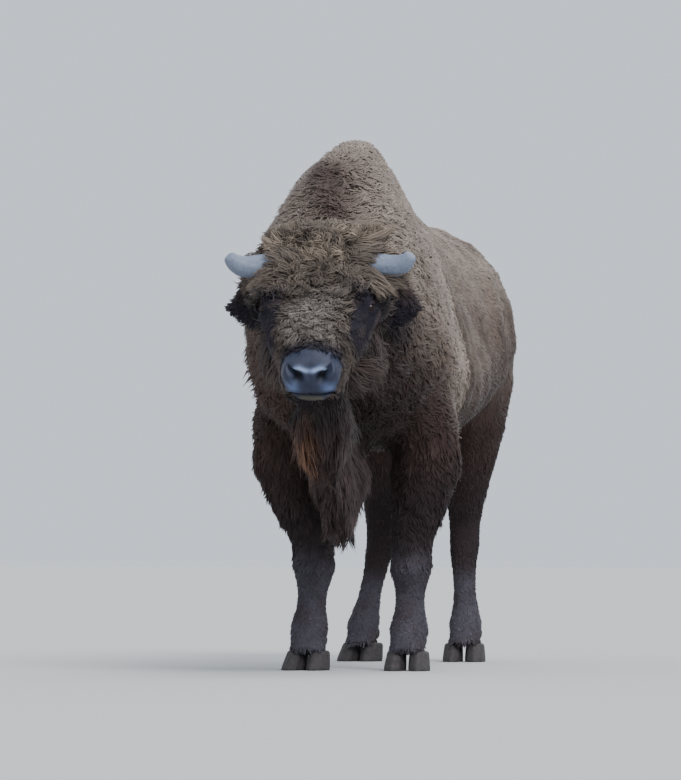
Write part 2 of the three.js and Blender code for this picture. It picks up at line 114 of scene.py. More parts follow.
def wander(points, size, seed):
    """Smooth noise between about -1 and 1 that changes over the given size."""
    rng = np.random.default_rng(seed)
    total = np.zeros(len(points))
    for _ in range(7):
        way = rng.normal(size=3)
        way *= 2 * math.pi / (size * rng.uniform(0.7, 1.5)) / np.linalg.norm(way)
        total += np.sin(points @ way + rng.uniform(0, 6.3))
    return total / 3.2


def read(items, name, width, kind=np.float32):
    """A property of all the corners, edges or faces of a mesh, as rows of numbers."""
    out = np.zeros(len(items) * width, kind)
    items.foreach_get(name, out)
    return out.reshape(-1, width).astype(np.int64 if kind == np.int32 else float)


def move_to(mesh, points):
    mesh.vertices.foreach_set("co", points.astype(np.float32).ravel())
    mesh.update()


def averaged(values, edges):
    """Each corner's mean over the corners it is linked to."""
    flat = values.reshape(len(values), -1)
    count = np.bincount(edges.ravel(), minlength=len(flat)).astype(float)
    out = np.zeros_like(flat)
    for k in range(flat.shape[1]):
        out[:, k] += np.bincount(edges[:, 0], flat[edges[:, 1], k], len(flat))
        out[:, k] += np.bincount(edges[:, 1], flat[edges[:, 0], k], len(flat))
    return (out / np.maximum(count, 1)[:, None]).reshape(values.shape)


def evened(points, edges, times, where=1.0):
    """Evens the surface out without making it thinner."""
    where = np.broadcast_to(where, len(points))[:, None]
    for _ in range(times):
        points = points + 0.5 * where * (averaged(points, edges) - points)
        points = points - 0.52 * where * (averaged(points, edges) - points)
    return points


def kind_of(node):
    """The key of a node in a table by kind, such as foreleg_lower for left_foreleg_lower."""
    return max((k for k in COAT_DEPTH if k in node), key=len)


def loose_copy(node):
    """A copy of one solid, free of the frame, added to what is selected."""
    copy = frame["nodes"][node].copy()
    copy.data = copy.data.copy()
    copy.parent = None
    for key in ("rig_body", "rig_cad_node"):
        del copy[key]
    bpy.context.scene.collection.objects.link(copy)
    copy.select_set(True)
    bpy.context.view_layer.objects.active = copy
    return copy


def one_skin(piece, name, grain):
    """Makes one closed skin of even faces from the loose triangles of a piece."""
    piece.name = piece.data.name = name
    piece.data.materials.clear()
    bpy.ops.object.mode_set(mode="EDIT")
    bpy.ops.mesh.select_all(action="SELECT")
    bpy.ops.mesh.remove_doubles(threshold=MERGE)
    bpy.ops.object.mode_set(mode="OBJECT")
    remesh = piece.modifiers.new("skin", "REMESH")
    remesh.mode = "VOXEL"
    remesh.voxel_size = grain
    bpy.ops.object.modifier_apply(modifier="skin")


bpy.ops.object.select_all(action="DESELECT")
flesh = [n for n in frame["nodes"] if not any(w in n for w in ("eye", "horn", "claw"))]
for node in frame["nodes"]:
    if "claw" not in node:
        loose_copy(node)
bpy.ops.object.join()
hide = bpy.context.object
one_skin(hide, "hide", GRAIN)

# which solid each place on the hide belongs to
node_names = sorted(frame["nodes"])
node_kinds = np.array([kind_of(n) for n in node_names])
SAMPLES_PER_M2 = 9000
rng = np.random.default_rng(11)
samples, sample_node = [], []
for index, node in enumerate(node_names):
    mesh = frame["nodes"][node].data
    mesh.calc_loop_triangles()
    tri = read(mesh.vertices, "co", 3)[read(mesh.loop_triangles, "vertices", 3, np.int32)]
    area = np.linalg.norm(np.cross(tri[:, 1] - tri[:, 0], tri[:, 2] - tri[:, 0]), axis=1) / 2
    many = max(60, int(area.sum() * SAMPLES_PER_M2))
    pick = rng.choice(len(tri), many, p=area / area.sum())
    a, b = np.sqrt(rng.random((many, 1))), rng.random((many, 1))
    samples.append(tri[pick, 0] * (1 - a) + tri[pick, 1] * a * (1 - b) + tri[pick, 2] * a * b)
    sample_node += [index] * many
tree = KDTree(len(sample_node))
for i, point in enumerate(np.concatenate(samples)):
    tree.insert(point, i)
tree.balance()


def solids_at(points):
    """The index in node_names of the solid nearest to each point."""
    return np.array([sample_node[tree.find(p)[1]] for p in points])


EYE_SIDES = {"left": 1, "right": -1}
eye_centres = {side: np.array(sum(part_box(f"{side}_eye"), Vector()) / 2) for side in EYE_SIDES}


def from_eyes(points):
    """Distance from each point to the nearer eye."""
    return np.min([np.linalg.norm(points - c, axis=1) for c in eye_centres.values()], axis=0)


# the depth of the coat: most under the mop, little round the eyes, none on the bare nose; thin over
# the right of the hump and the low left of the mane, and thicker on the left of the hump
points, edges = read(hide.data.vertices, "co", 3), read(hide.data.edges, "vertices", 2, np.int32)
depth = np.array([COAT_DEPTH[k] for k in node_kinds])[solids_at(points)]
across, forward, up = on_head(points)
in_head = ease(forward, -0.12, 0.0) * fade(np.abs(across), 0.25, 0.30) * ease(up, -0.42, -0.36)
on_top = (in_head > 0.5) & (up > -0.12) & (depth > 0.009)
depth = np.where(on_top, 0.036 - 0.022 * ease(forward, 0.12, 0.34), depth)
depth += (0.014 - depth) * fade(from_eyes(points), 0.06, 0.10)
depth *= 1 - ease(forward, 0.36, 0.41) * in_head
right_side = fade(points[:, 0], -0.04, 0.06)
on_left = ease(points[:, 0], 0.00, 0.07)
on_crest = ease(points[:, 2], 1.64, 1.80) * (1 - 0.6 * on_left)
thin = np.maximum(right_side * ease(points[:, 2], 1.48, 1.70), on_crest)
depth *= 1 - 0.95 * thin
depth += 0.009 * on_left * ease(points[:, 2], 1.45, 1.55)
low_mane = ease(points[:, 0], 0.03, 0.07) * fade(points[:, 2], 0.68, 0.80)
depth -= 0.030 * low_mane * (points[:, 1] < -0.45) * (depth > 0.030)
for _ in range(10):
    depth = 0.5 * depth + 0.5 * averaged(depth, edges)
points = evened(points, edges, 16)
by_eye = fade(from_eyes(points), 0.045, 0.075)[:, None]
for _ in range(40):
    points = points + 0.6 * by_eye * (averaged(points, edges) - points)
move_to(hide.data, points)
points = read(hide.data.vertices, "co", 3) - read(hide.data.vertices, "normal", 3) * depth[:, None]
is_ear = node_kinds[solids_at(points)] == "ear"
points = evened(points, edges, 4)
move_to(hide.data, evened(points, edges, 14, is_ear))

# hips, hollow flanks, elbows and the edge of the ribs, under the short coat
points, out = read(hide.data.vertices, "co", 3), read(hide.data.vertices, "normal", 3)
for place, reach, rise in (
    ((0.235, 0.600, 1.350), 0.085, 0.016),
    ((0.255, 0.430, 1.190), 0.120, -0.020),
    ((0.200, 0.760, 1.180), 0.110, 0.010),
    ((0.255, 0.250, 0.930), 0.110, 0.010),
    ((0.110, 1.010, 1.240), 0.060, 0.012),
):
    for sign in (1, -1):
        off = (points - np.array(place) * (sign, 1, 1)) / (1.6 * reach, reach, reach)
        points = points + out * (rise * np.exp(-(off**2).sum(1)))[:, None]


def mantle_end(points):
    """How far back the long wool reaches at each height: furthest at the withers, uneven below."""
    return -0.050 + 0.10 * (points[:, 2] - 1.2) + 0.035 * wander(points, 0.38, 51)


# loose folds on the flanks, and a ridge where the wool of the shoulders ends
x_at, y_at, z_at = points.T
on_side = ease(np.abs(x_at), 0.10, 0.22) * ease(z_at, 0.85, 1.0) * fade(z_at, 1.50, 1.65)
behind_mantle = ease(y_at, 0.05, 0.20) * fade(y_at, 0.80, 1.0)
folds = 0.0055 * wander(points * (1, 1, 0.35), 0.13, 31) * behind_mantle
line = y_at - mantle_end(points)
folds += 0.009 * near(line, 0.0, 0.030) - 0.010 * near(line, 0.085, 0.028)
folds += 0.006 * near(line, 0.15, 0.03)
points = points + out * (folds * on_side)[:, None]

# knees, slim cannons, fetlocks and pasterns, shaped round the middle of each lower leg
LEG_HEIGHTS = (0.060, 0.090, 0.135, 0.190, 0.250, 0.310, 0.360, 0.420)
LEG_GIRTHS = {
    "fore": (1.03, 0.93, 1.06, 0.97, 0.90, 0.95, 1.05, 1.0),
    "hind": (1.03, 0.94, 1.07, 0.97, 0.93, 0.96, 1.0, 1.0),
}
LEG_TOP = 0.42
for side_name in ("left", "right"):
    for end, girths in LEG_GIRTHS.items():
        low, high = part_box(f"{side_name}_{end}leg_lower")
        x_at, y_at, z_at = points.T
        here = (np.abs(x_at - (low[0] + high[0]) / 2) < 0.13) & (z_at < LEG_TOP)
        here &= np.abs(y_at - (low[1] + high[1]) / 2) < 0.16
        steps = np.arange(0.05, LEG_TOP + 0.01, 0.03)
        middles = np.array([points[here & (np.abs(z_at - step) < 0.02)][:, :2].mean(0) for step in steps])
        middle = np.stack([np.interp(z_at, steps, middles[:, axis]) for axis in (0, 1)], 1)
        girth = np.interp(z_at, LEG_HEIGHTS, girths)
        points[here, :2] += ((girth - 1)[:, None] * (points[:, :2] - middle))[here]
move_to(hide.data, points)


def refine(chosen):
    """Splits the chosen faces of the hide once."""
    bpy.ops.object.mode_set(mode="EDIT")
    bpy.ops.mesh.select_mode(type="FACE")
    bpy.ops.mesh.select_all(action="DESELECT")
    bpy.ops.object.mode_set(mode="OBJECT")
    hide.data.polygons.foreach_set("select", chosen)
    bpy.ops.object.mode_set(mode="EDIT")
    bpy.ops.mesh.subdivide(number_cuts=1)
    bpy.ops.object.mode_set(mode="OBJECT")


# the head is split finer, and its eyes, nose and lips finer again
for step, evening in enumerate((6, 5, 3)):
    centres = read(hide.data.polygons, "center", 3)
    across, forward, up = on_head(centres)
    by_eye = from_eyes(centres)
    if step == 0:
        refine((forward > -0.02) & (np.abs(across) < 0.23) & (up > -0.36))
    elif step == 1:
        refine((by_eye < 0.070) | ((forward > 0.36) & (up > -0.24)))
    else:
        refine((by_eye < 0.040) | ((forward > 0.415) & (up > -0.15) & (up < 0.02)))
    points, edges = read(hide.data.vertices, "co", 3), read(hide.data.edges, "vertices", 2, np.int32)
    across, forward, up = on_head(points)
    where = (
        ease(forward, -0.03, 0.02),
        np.maximum(fade(from_eyes(points), 0.055, 0.075), ease(forward, 0.34, 0.37)),
        np.maximum(fade(from_eyes(points), 0.035, 0.045), ease(forward, 0.40, 0.43)),
    )[step]
    move_to(hide.data, evened(points, edges, evening, where))

# the bare muzzle: a broad pad with rims over comma-shaped nostrils, two upper lips and a mouth
points, out = read(hide.data.vertices, "co", 3), read(hide.data.vertices, "normal", 3)
across, forward, up = on_head(points)
side = np.abs(across)
ahead = from_head(0, 1, 0)
front = ease(forward, 0.40, 0.45)
pad = 0.006 * near(up, -0.012, 0.018) * near(side, 0.045, 0.05) * front
tail_line = -0.036 + 0.42 * np.clip(side - 0.036, 0, 1)
comma = near(side, 0.037, 0.0140) * near(up, -0.044, 0.0142)
comma += 0.85 * near(up, tail_line, 0.0078) * ease(side, 0.030, 0.044) * fade(side, 0.064, 0.080)
rim = near(np.hypot(side - 0.044, (up + 0.038) * 1.2), 0.028, 0.011) * front
philtrum = near(across, 0, 0.0045) * near(up, -0.078, 0.030) * front
mouth_line = -0.100 + np.clip(forward, 0.42, 0.49) - 0.49 + 0.25 * (np.clip(forward, 0.33, 0.42) - 0.42)
mouth = near(up, mouth_line, 0.0040) * ease(forward, 0.33, 0.38)
upper_lip = near(up, mouth_line + 0.016, 0.011) * ease(forward, 0.36, 0.42)
lower_lip = near(up, mouth_line - 0.016, 0.011) * ease(forward, 0.40, 0.45)
push = 0.003 * rim + pad - 0.0035 * philtrum + 0.004 * upper_lip + 0.003 * lower_lip - 0.011 * mouth
NOSTRIL_DEPTH = 0.028
points = points + out * push[:, None] - ahead * (NOSTRIL_DEPTH * np.clip(comma, 0, 1) * front)[:, None]

# lids: an almond slit over each eyeball, rolled rims, a bony mound round it, a brow and a fold
EYE_RADIUS = 0.0235
LID_THICK, LID_BLEND = 0.0028, 0.0035
SLIT_HALF_LENGTH, UPPER_GAPE, LOWER_GAPE = 0.0215, 0.0125, 0.0108
MOUND_HEIGHT = 0.0135
SET_BACK = 0.006  # of the hide inside the slit, behind the front of the ball
eye_ways = {}
for side_name, sign in EYE_SIDES.items():
    look, along = from_head(sign * 0.80, 0.32, 0.50), from_head(sign * 0.30, -0.86, -0.33)
    look /= np.linalg.norm(look)
    along -= look * (along @ look)
    along /= np.linalg.norm(along)
    over = np.cross(look, along)
    over *= np.sign(over @ from_head(-0.4 * sign, 0, 1))
    eye_ways[side_name] = (look, along, over)
    away = points - eye_centres[side_name]
    u, v, w = away @ along, away @ over, away @ look
    r = np.hypot(u, v)
    facing = ease(w, -0.05, -0.03) * (np.linalg.norm(away, axis=1) < 0.12)
    half_slit = np.clip(1 - np.abs(u / SLIT_HALF_LENGTH) ** 2.2, 0, 1)
    half_slit = half_slit * np.where(v > 0, UPPER_GAPE, LOWER_GAPE)
    inside = fade(np.abs(v) - half_slit, -0.0012, 0.0008) * (r < 0.023)
    ball = np.sqrt(np.clip(EYE_RADIUS**2 - r**2, 0, 1))
    dome = np.sqrt(np.clip((EYE_RADIUS + LID_THICK) ** 2 - r**2, 0, 1))
    mound = MOUND_HEIGHT + (np.minimum(w, MOUND_HEIGHT) - MOUND_HEIGHT) * ease(r, 0.014, 0.075)
    mound += 0.007 * near(v, 0.030, 0.014) * near(u, 0.0, 0.034) * fade(r, 0.04, 0.075)
    mound -= 0.003 * near(v, -0.027, 0.005) * near(u, -0.004, 0.026)
    lid = LID_BLEND * np.logaddexp(mound / LID_BLEND, dome / LID_BLEND)
    lid += 0.0013 * near(np.abs(v) - half_slit, 0.0018, 0.0014) * fade(r, 0.022, 0.026)
    lid -= 0.0012 * near(v - half_slit, 0.0060, 0.0012) * fade(np.abs(u), 0.014, 0.020)
    target = lid * (1 - inside) + (ball - SET_BACK) * inside
    blend = facing * fade(r, 0.060, 0.078)
    points = points + look * (blend * (target - w))[:, None]

# rounder, lifted tips to the ears, with a hollow in front
for side_name, sign in EYE_SIDES.items():
    low, high = (np.array(c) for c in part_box(f"{side_name}_ear"))
    tip_x, root_x = (high[0], low[0]) if sign > 0 else (low[0], high[0])
    to_tip = ease((points[:, 0] - root_x) / (tip_x - root_x), 0.35, 0.85)
    in_ear = ((points > low - 0.01) & (points < high + 0.01)).all(1) * to_tip
    points = points + in_ear[:, None] * (0.002 * sign, 0.0, 0.016)
    ear_middle = 0.45 * low + 0.55 * high if sign > 0 else 0.55 * low + 0.45 * high
    ear_middle = np.array([ear_middle[0], low[1], 0.5 * (low[2] + high[2])])
    off = (points - ear_middle) / (0.045, 0.12, 0.035)
    cup = np.exp(-(off**2).sum(1)) * ease(-out[:, 1], 0.2, 0.6)
    points = points + cup[:, None] * (0.0, 0.014, 0.0)
points = points + 0.2 * (averaged(points, edges) - points)
move_to(hide.data, points)
bpy.ops.object.shade_smooth()

# the way the hair runs over each part: across, back and up
LIE = {
    "shoulders": (0, 0.75, -0.70), "neck": (0, 0.50, -0.85), "barrel": (0, 0.90, -0.45),
    "rump": (0, 0.70, -0.75), "throat_mane": (0, 0.12, -1), "beard": (0, 0.05, -1),
    "sheath_tuft": (0, 0.05, -1), "tail_dock": (0, 0.12, -1), "tail_tuft": (0, 0.0, -1),
    "face": (0, 0.30, -1), "jaw": (0, 0.35, -1), "muzzle": (0, 0.2, -1),
    "foreleg_upper": (0, 0.22, -1), "foreleg_lower": (0, 0.08, -1),
    "hindleg_upper": (0, 0.35, -1), "hindleg_lower": (0, 0.08, -1),
    "ear": (0, 0.1, -1), "horn": (0, 0.2, -1), "claw": (0, 0, -1), "eye": (0, 0.2, -1),
}
skin, skin_out = read(hide.data.vertices, "co", 3), read(hide.data.vertices, "normal", 3)
skin_kind = node_kinds[solids_at(skin + skin_out * 0.01)]
across, forward, up = on_head(skin)
is_head = np.isin(skin_kind, ["face", "muzzle", "eye", "jaw"]) & (forward > -0.16)
lie = np.array([LIE[k] for k in skin_kind], float)
whorl = from_head(across, forward - 0.06, 0 * up)
whorl /= np.linalg.norm(whorl, axis=1)[:, None] + 1e-9
down_face = from_head(0.35 * np.sign(across) * ease(np.abs(across), 0.03, 0.1), 1.0, -0.1)
below = ease(forward, 0.10, 0.20)[:, None]
on_top = (ease(up, -0.08, 0.0) * is_head)[:, None]
lie = lie * (1 - on_top) + on_top * (whorl * (1 - below) + down_face * below)
lie = np.where((skin_kind == "ear")[:, None], from_head(np.sign(across), 0.40, -0.15), lie)
for _ in range(12):
    lie = 0.5 * lie + 0.5 * averaged(lie, edges)


def mixed(a, b, t):
    """Colour a, or rows of colours, turned into colour b where t is 1."""
    return np.asarray(a) * (1 - t[:, None]) + np.asarray(b) * t[:, None]


WOOL_GREY = (0.250, 0.200, 0.166)
WOOL_GOLD = (0.225, 0.158, 0.114)
MOP_BROWN = (0.104, 0.082, 0.067)
MOP_GOLD = (0.300, 0.238, 0.180)
FLANK_BROWN = (0.165, 0.124, 0.100)
LOW_BROWN = (0.050, 0.030, 0.026)
CHEEK_RED = (0.118, 0.087, 0.072)
EAR_BROWN = (0.092, 0.064, 0.055)
LEG_DARK = (0.030, 0.021, 0.022)
CANNON_GREY = (0.079, 0.073, 0.090)
MANE_BLACK = (0.038, 0.028, 0.029)
AUBURN = (0.150, 0.075, 0.044)
MASK_BLACK = (0.021, 0.018, 0.027)
BRIDGE_GREY = (0.190, 0.163, 0.145)


def abreast(points):
    """Place on an axis across the body that runs a little backwards on the left."""
    return 0.970 * points[:, 0] + 0.242 * points[:, 1]


def body_marks(points):
    """Colour of the coat on trunk and legs: light above, blackish below, with painted shade on the chest
    and in the groove behind the mantle, and painted light along the mantle's rim and on the right of the
    chest.
    """
    x, y, z = points.T
    cloud = wander(points, 0.30, 3)
    behind = ease(y + 0.05 * cloud, -0.10, 0.14)
    edge = y - mantle_end(points)
    high = ease(z + 0.05 * cloud + 0.26 * ease(edge, -0.46, -0.14), 0.88, 1.46)
    wool = mixed(mixed(LOW_BROWN, WOOL_GOLD, 0.85 * high), np.array(WOOL_GREY) * 1.05, high**1.7)
    # darker brown on the chest under the head, deepened by painted shade
    chest_shade = fade(y, -0.62, -0.40) * fade(z + 0.04 * cloud, 0.92, 1.12)
    wool = mixed(wool, np.array(LOW_BROWN) * 0.7, 0.85 * chest_shade)
    flank = mixed(LOW_BROWN, FLANK_BROWN, ease(z + 0.05 * cloud, 0.80, 1.15))
    flank = mixed(flank, np.array(WOOL_GREY) * 1.05, ease(z, 1.18, 1.46))
    # darker and paler streaks that run back and down
    run = np.array([0.0, 0.50, -0.87])
    drawn = points - 0.78 * (points @ run)[:, None] * run
    flank = mixed(flank, LOW_BROWN, 0.50 * ease(wander(drawn, 0.15, 41), 0.1, 0.9))
    flank = mixed(flank, WOOL_GREY, 0.45 * ease(wander(drawn, 0.11, 53), 0.2, 1.0) * ease(z, 0.95, 1.15))
    colour = wool * (1 - behind[:, None]) + flank * behind[:, None]
    # painted light along the ridge at the end of the mantle on the left side, and painted shade in the
    # hollow behind it
    rim = near(edge, -0.050, 0.055) * ease(z, 0.75, 0.90) * ease(x, 0.03, 0.14)
    groove_shade = near(edge, 0.070, 0.065) * ease(z, 0.8, 1.0) * (1 - 0.6 * ease(z, 1.38, 1.55))
    groove_shade *= 0.75 + 0.4 * wander(points, 0.2, 47)
    colour *= (1 + 0.45 * rim - 0.55 * np.clip(groove_shade, 0, 1))[:, None]
    crest = near(abreast(points), -0.168, 0.082) * fade(y, -0.36, -0.22)
    crest *= ease(z, 1.42, 1.50) * fade(z, 1.68, 1.76)
    colour = mixed(colour, LOW_BROWN, 0.92 * crest)
    # painted warm light, in auburn, on the front of the right shoulder and chest
    lit = fade(x, -0.16, -0.02) * near(y, -0.75, 0.22) * near(z, 0.98, 0.22)
    colour = mixed(colour, AUBURN, 0.40 * lit)
    colour = mixed(colour, LEG_DARK, fade(z + 0.04 * cloud, 0.50, 0.80))
    colour = mixed(colour, CANNON_GREY, fade(z + 0.02 * cloud, 0.27, 0.36))
    stain = ease(wander(points, 0.06, 43), 0.1, 0.8) * fade(z, 0.30, 0.40)
    colour = mixed(colour, LOW_BROWN, 0.7 * stain)
    return mixed(colour, CANNON_GREY, 0.8 * near(z, 0.345, 0.05) * near(y, -0.40, 0.09))


def head_marks(points):
    """Colour of the coat on the head: gold-brown mop, grey bridge, black mask and chin, and a painted
    shadow under the bridge along the top of the nose.
    """
    a, f, u = on_head(points)
    side = np.abs(a)
    gold_patches = ease(wander(points, 0.060, 7), -0.1, 0.8) * fade(f, 0.0, 0.12)
    face = mixed(MOP_BROWN, MOP_GOLD, gold_patches)
    bridge = mixed(BRIDGE_GREY, MOP_BROWN, ease(side, 0.05, 0.10))
    face = mixed(face, bridge, ease(f, 0.10, 0.20) * fade(f, 0.33, 0.37) * ease(u, -0.08, -0.02))
    face = mixed(face, CHEEK_RED, fade(u, -0.13, -0.07))
    face = mixed(face, MOP_GOLD, 0.3 * near(u, -0.105, 0.03) * near(f, 0.22, 0.12) * (a > 0))
    by_eye = ease(f, 0.110, 0.140) * fade(f, 0.300, 0.345) * ease(u, -0.145, -0.095)
    face = mixed(face, MASK_BLACK, ease(side, 0.100, 0.122) * by_eye)
    # painted shadow where the hair of the bridge overhangs the top of the nose
    nose_top_shadow = near(f, 0.390, 0.038) * ease(u, -0.06, -0.01) * fade(side, 0.09, 0.12)
    face = mixed(face, MASK_BLACK, nose_top_shadow)
    face = mixed(face, LOW_BROWN, 0.70 * fade(u, -0.16, -0.09) * ease(side, 0.05, 0.09))
    ruddy = ease(wander(points, 0.035, 61), 0.2, 1.0) * ease(side, 0.11, 0.13) * ease(u, -0.13, -0.08)
    face = mixed(face, CHEEK_RED, 0.45 * ruddy)
    chin = fade(u, -0.13, -0.09) * ease(f, 0.30, 0.40) * fade(side, 0.08, 0.12)
    return mixed(face, np.array(MANE_BLACK) * 0.45, chin)


def highlight_band(a, u):
    """The band over the nostrils where the wet nose carries a painted highlight, with a dip between them.
    """
    arch = -0.019 + 0.008 * near(np.abs(a), 0.038, 0.022)
    return near(u, arch, 0.0056) * fade(np.abs(a), 0.045, 0.060)


def nose_marks(points):
    """Colour of the bare nose: blue-black, the blue partly painted reflection; a painted highlight over the
    nostrils, weaker at the cleft, paler below them, black nostrils as painted shade, lip olive.
    """
    a, _, u = on_head(points)
    side = np.abs(a)
    # painted highlight of the wet nose over the nostrils, a little weaker at the cleft
    mottle_and_highlight = highlight_band(a, u) * (1 - 0.35 * near(a, 0, 0.012))
    leather = mixed((0.017, 0.022, 0.044), (0.260, 0.335, 0.520), 0.9 * mottle_and_highlight)
    leather = mixed(leather, (0.105, 0.145, 0.270), 0.9 * near(u, -0.072, 0.017) * near(side, 0.060, 0.020))
    leather = mixed(leather, (0.070, 0.063, 0.046), near(u, -0.114, 0.009) * fade(side, 0.032, 0.048))
    # the nostrils painted near black, as painted shade in their holes
    return mixed(leather, (0.003, 0.003, 0.004), near(side, 0.038, 0.012) * near(u, -0.044, 0.012))


def coat_marks(points, kinds):
    """Colour of the coat at each place, for the hide and for the hair on it."""
    x, y, z = points.T
    a, f, _ = on_head(points)
    on_face = np.isin(kinds, ["face", "jaw", "muzzle", "eye"])[:, None]
    colour = np.where(on_face, head_marks(points), body_marks(points))
    # painted warm light, in auburn, down the right edge of the mane
    lit = 0.12 + 0.88 * fade(x + 0.25 * y, -0.265, -0.215)
    lit = lit * ease(-y, -0.4, 1.05) * fade(z, 0.80, 0.95)
    mane = mixed(np.outer(1.5 - 0.5 * ease(z, 0.48, 0.66), MANE_BLACK), AUBURN, 0.95 * lit)
    throat = ease(f, 0.16, 0.26) * fade(np.abs(a), 0.07, 0.11) * ease(z, 0.82, 0.90)
    mane = mixed(mane, np.array(MANE_BLACK) * 0.35, throat)
    is_long = np.isin(kinds, ["throat_mane", "beard", "sheath_tuft", "tail_tuft"])[:, None]
    colour = np.where(is_long, mane, colour)
    # blackish ears with a brown upper rim, lightened in part as painted light from above
    ear = mixed(MASK_BLACK, EAR_BROWN, 0.9 * ease(z + 0.45 * (np.abs(a) - 0.25), 1.225, 1.28))
    colour = np.where((kinds == "ear")[:, None], ear, colour)
    # painted shade in the wool behind and under the ears
    shaded = near(abreast(points), 0.060, 0.050) + near(abreast(points), -0.46, 0.045)
    shaded = shaded * near(z, 1.165, 0.095) * ease(y, -1.04, -0.96)
    colour = mixed(colour, MASK_BLACK, 0.85 * np.clip(shaded, 0, 1))
    uneven = 1 + 0.12 * wander(points, 0.07, 5) + 0.12 * wander(points, 0.035, 9)
    return np.clip(colour * uneven[:, None], 0, 1)


skin_marks = coat_marks(skin, skin_kind)
for _ in range(6):
    skin_marks = 0.5 * skin_marks + 0.5 * averaged(skin_marks, edges)
side = np.abs(across)
bare = ease(forward, 0.388, 0.412) * fade(side + 0.45 * np.clip(-0.05 - up, 0, 1), 0.096, 0.108)
bare *= 1 - ease(-up, 0.104, 0.110) * ease(side, 0.044, 0.054)
bare *= ease(up, -0.127, -0.121) * np.isin(skin_kind, ["face", "jaw", "muzzle"])
skin_marks = mixed(skin_marks, nose_marks(skin), bare)
in_nostril = near(side, 0.038, 0.016) * near(up, -0.044, 0.016)
wet = bare * np.clip(0.30 + 0.70 * highlight_band(across, up) - in_nostril, 0, 1)


def corner_values(mesh, name, kind, values):
    """Puts one value on each corner of the mesh, for its material to read."""
    layer = mesh.attributes.new(name, kind, "POINT")
    if kind == "FLOAT_COLOR":
        values = np.c_[values, np.ones(len(values))]
    field = {"FLOAT": "value", "FLOAT_VECTOR": "vector", "FLOAT_COLOR": "color"}[kind]
    layer.data.foreach_set(field, values.astype(np.float32).ravel())


corner_values(hide.data, "marks", "FLOAT_COLOR", skin_marks)
corner_values(hide.data, "wet", "FLOAT", wet)
bpy.ops.object.mode_set(mode="EDIT")
bpy.ops.mesh.select_all(action="SELECT")
bpy.ops.uv.smart_project(angle_limit=1.15, island_margin=0.002)
bpy.ops.object.mode_set(mode="OBJECT")
hide.data.uv_layers.active.name = "unwrap"


def plug(tree, node, inputs):
    """Fills a node's inputs with numbers or with other nodes' sockets."""
    for key, value in inputs.items():
        if isinstance(value, bpy.types.NodeSocket):
            tree.links.new(value, node.inputs[key])
        else:
            node.inputs[key].default_value = value
    return node


def wire(tree, kind, inputs, **settings):
    """Adds a shader node with its settings, and fills its inputs."""
    made = tree.nodes.new("ShaderNode" + kind)
    for key, value in settings.items():
        setattr(made, key, value)
    return plug(tree, made, inputs)


def maths(tree, operation, *values):
    return wire(tree, "Math", dict(enumerate(values)), operation=operation).outputs[0]


def kept(tree, name, output):
    """What the mesh keeps at each corner under a name."""
    return wire(tree, "Attribute", {}, attribute_name=name).outputs[output]


def between(tree, value, low, high):
    """A value from 0 to 1 as one from low to high."""
    return wire(tree, "MapRange", {"Value": value, "To Min": low, "To Max": high}).outputs[0]


def scaled(tree, colour, factor):
    return wire(tree, "VectorMath", {0: colour, "Scale": factor}, operation="SCALE").outputs[0]


def bumped(tree, height, strength, distance):
    """The normal of fine relief."""
    inputs = {"Height": height, "Strength": strength, "Distance": distance}
    return wire(tree, "Bump", inputs).outputs[0]


def finish(name):
    """A new material, its tree and its Principled shader."""
    material = bpy.data.materials.new(name)
    material.use_nodes = True
    return material, material.node_tree, material.node_tree.nodes["Principled BSDF"]


hide_finish, tree, shader = finish("hide")
place = wire(tree, "TexCoord", {}).outputs["Object"]
nap = wire(tree, "TexNoise", {"Vector": place, "Scale": 240.0, "Detail": 3.0}).outputs[0]
plug(tree, shader, {
    "Base Color": scaled(tree, kept(tree, "marks", "Color"), between(tree, nap, 0.55, 0.95)),
    "Normal": bumped(tree, nap, 0.5, 0.003),
    "Roughness": 0.85,
    "Specular IOR Level": 0.12,
})

nose_finish, tree, shader = finish("bare_nose")
place = wire(tree, "TexCoord", {}).outputs["Object"]
mottle_and_highlight = wire(tree, "TexNoise", {"Vector": place, "Scale": 38.0, "Detail": 3.0}).outputs[0]
pores = wire(tree, "TexVoronoi", {"Vector": place, "Scale": 380.0}, feature="SMOOTH_F1")
plug(tree, shader, {
    "Base Color": scaled(tree, kept(tree, "marks", "Color"), between(tree, mottle_and_highlight, 0.6, 1.4)),
    "Roughness": between(tree, kept(tree, "wet", "Fac"), 0.62, 0.34),
    "Normal": bumped(tree, pores.outputs["Distance"], 0.45, 0.0014),
    "Specular IOR Level": 0.34,
})
hide.data.materials.append(hide_finish)
hide.data.materials.append(nose_finish)
corners = read(hide.data.loops, "vertex_index", 1, np.int32)[:, 0]
starts = read(hide.data.polygons, "loop_start", 1, np.int32)[:, 0]
hide.data.polygons.foreach_set("material_index", (bare[corners[starts]] > 0.5).astype(np.int32))

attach(hide, "root")
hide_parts(*flesh)

# -------------------- wool of the hump and shoulders
# Dense, matt wool over hump, shoulders and neck, longest on the chest. Each tuft is a flat, tapering
# lock with a curled tip, rooted in the hide and laid back and down over its neighbours.

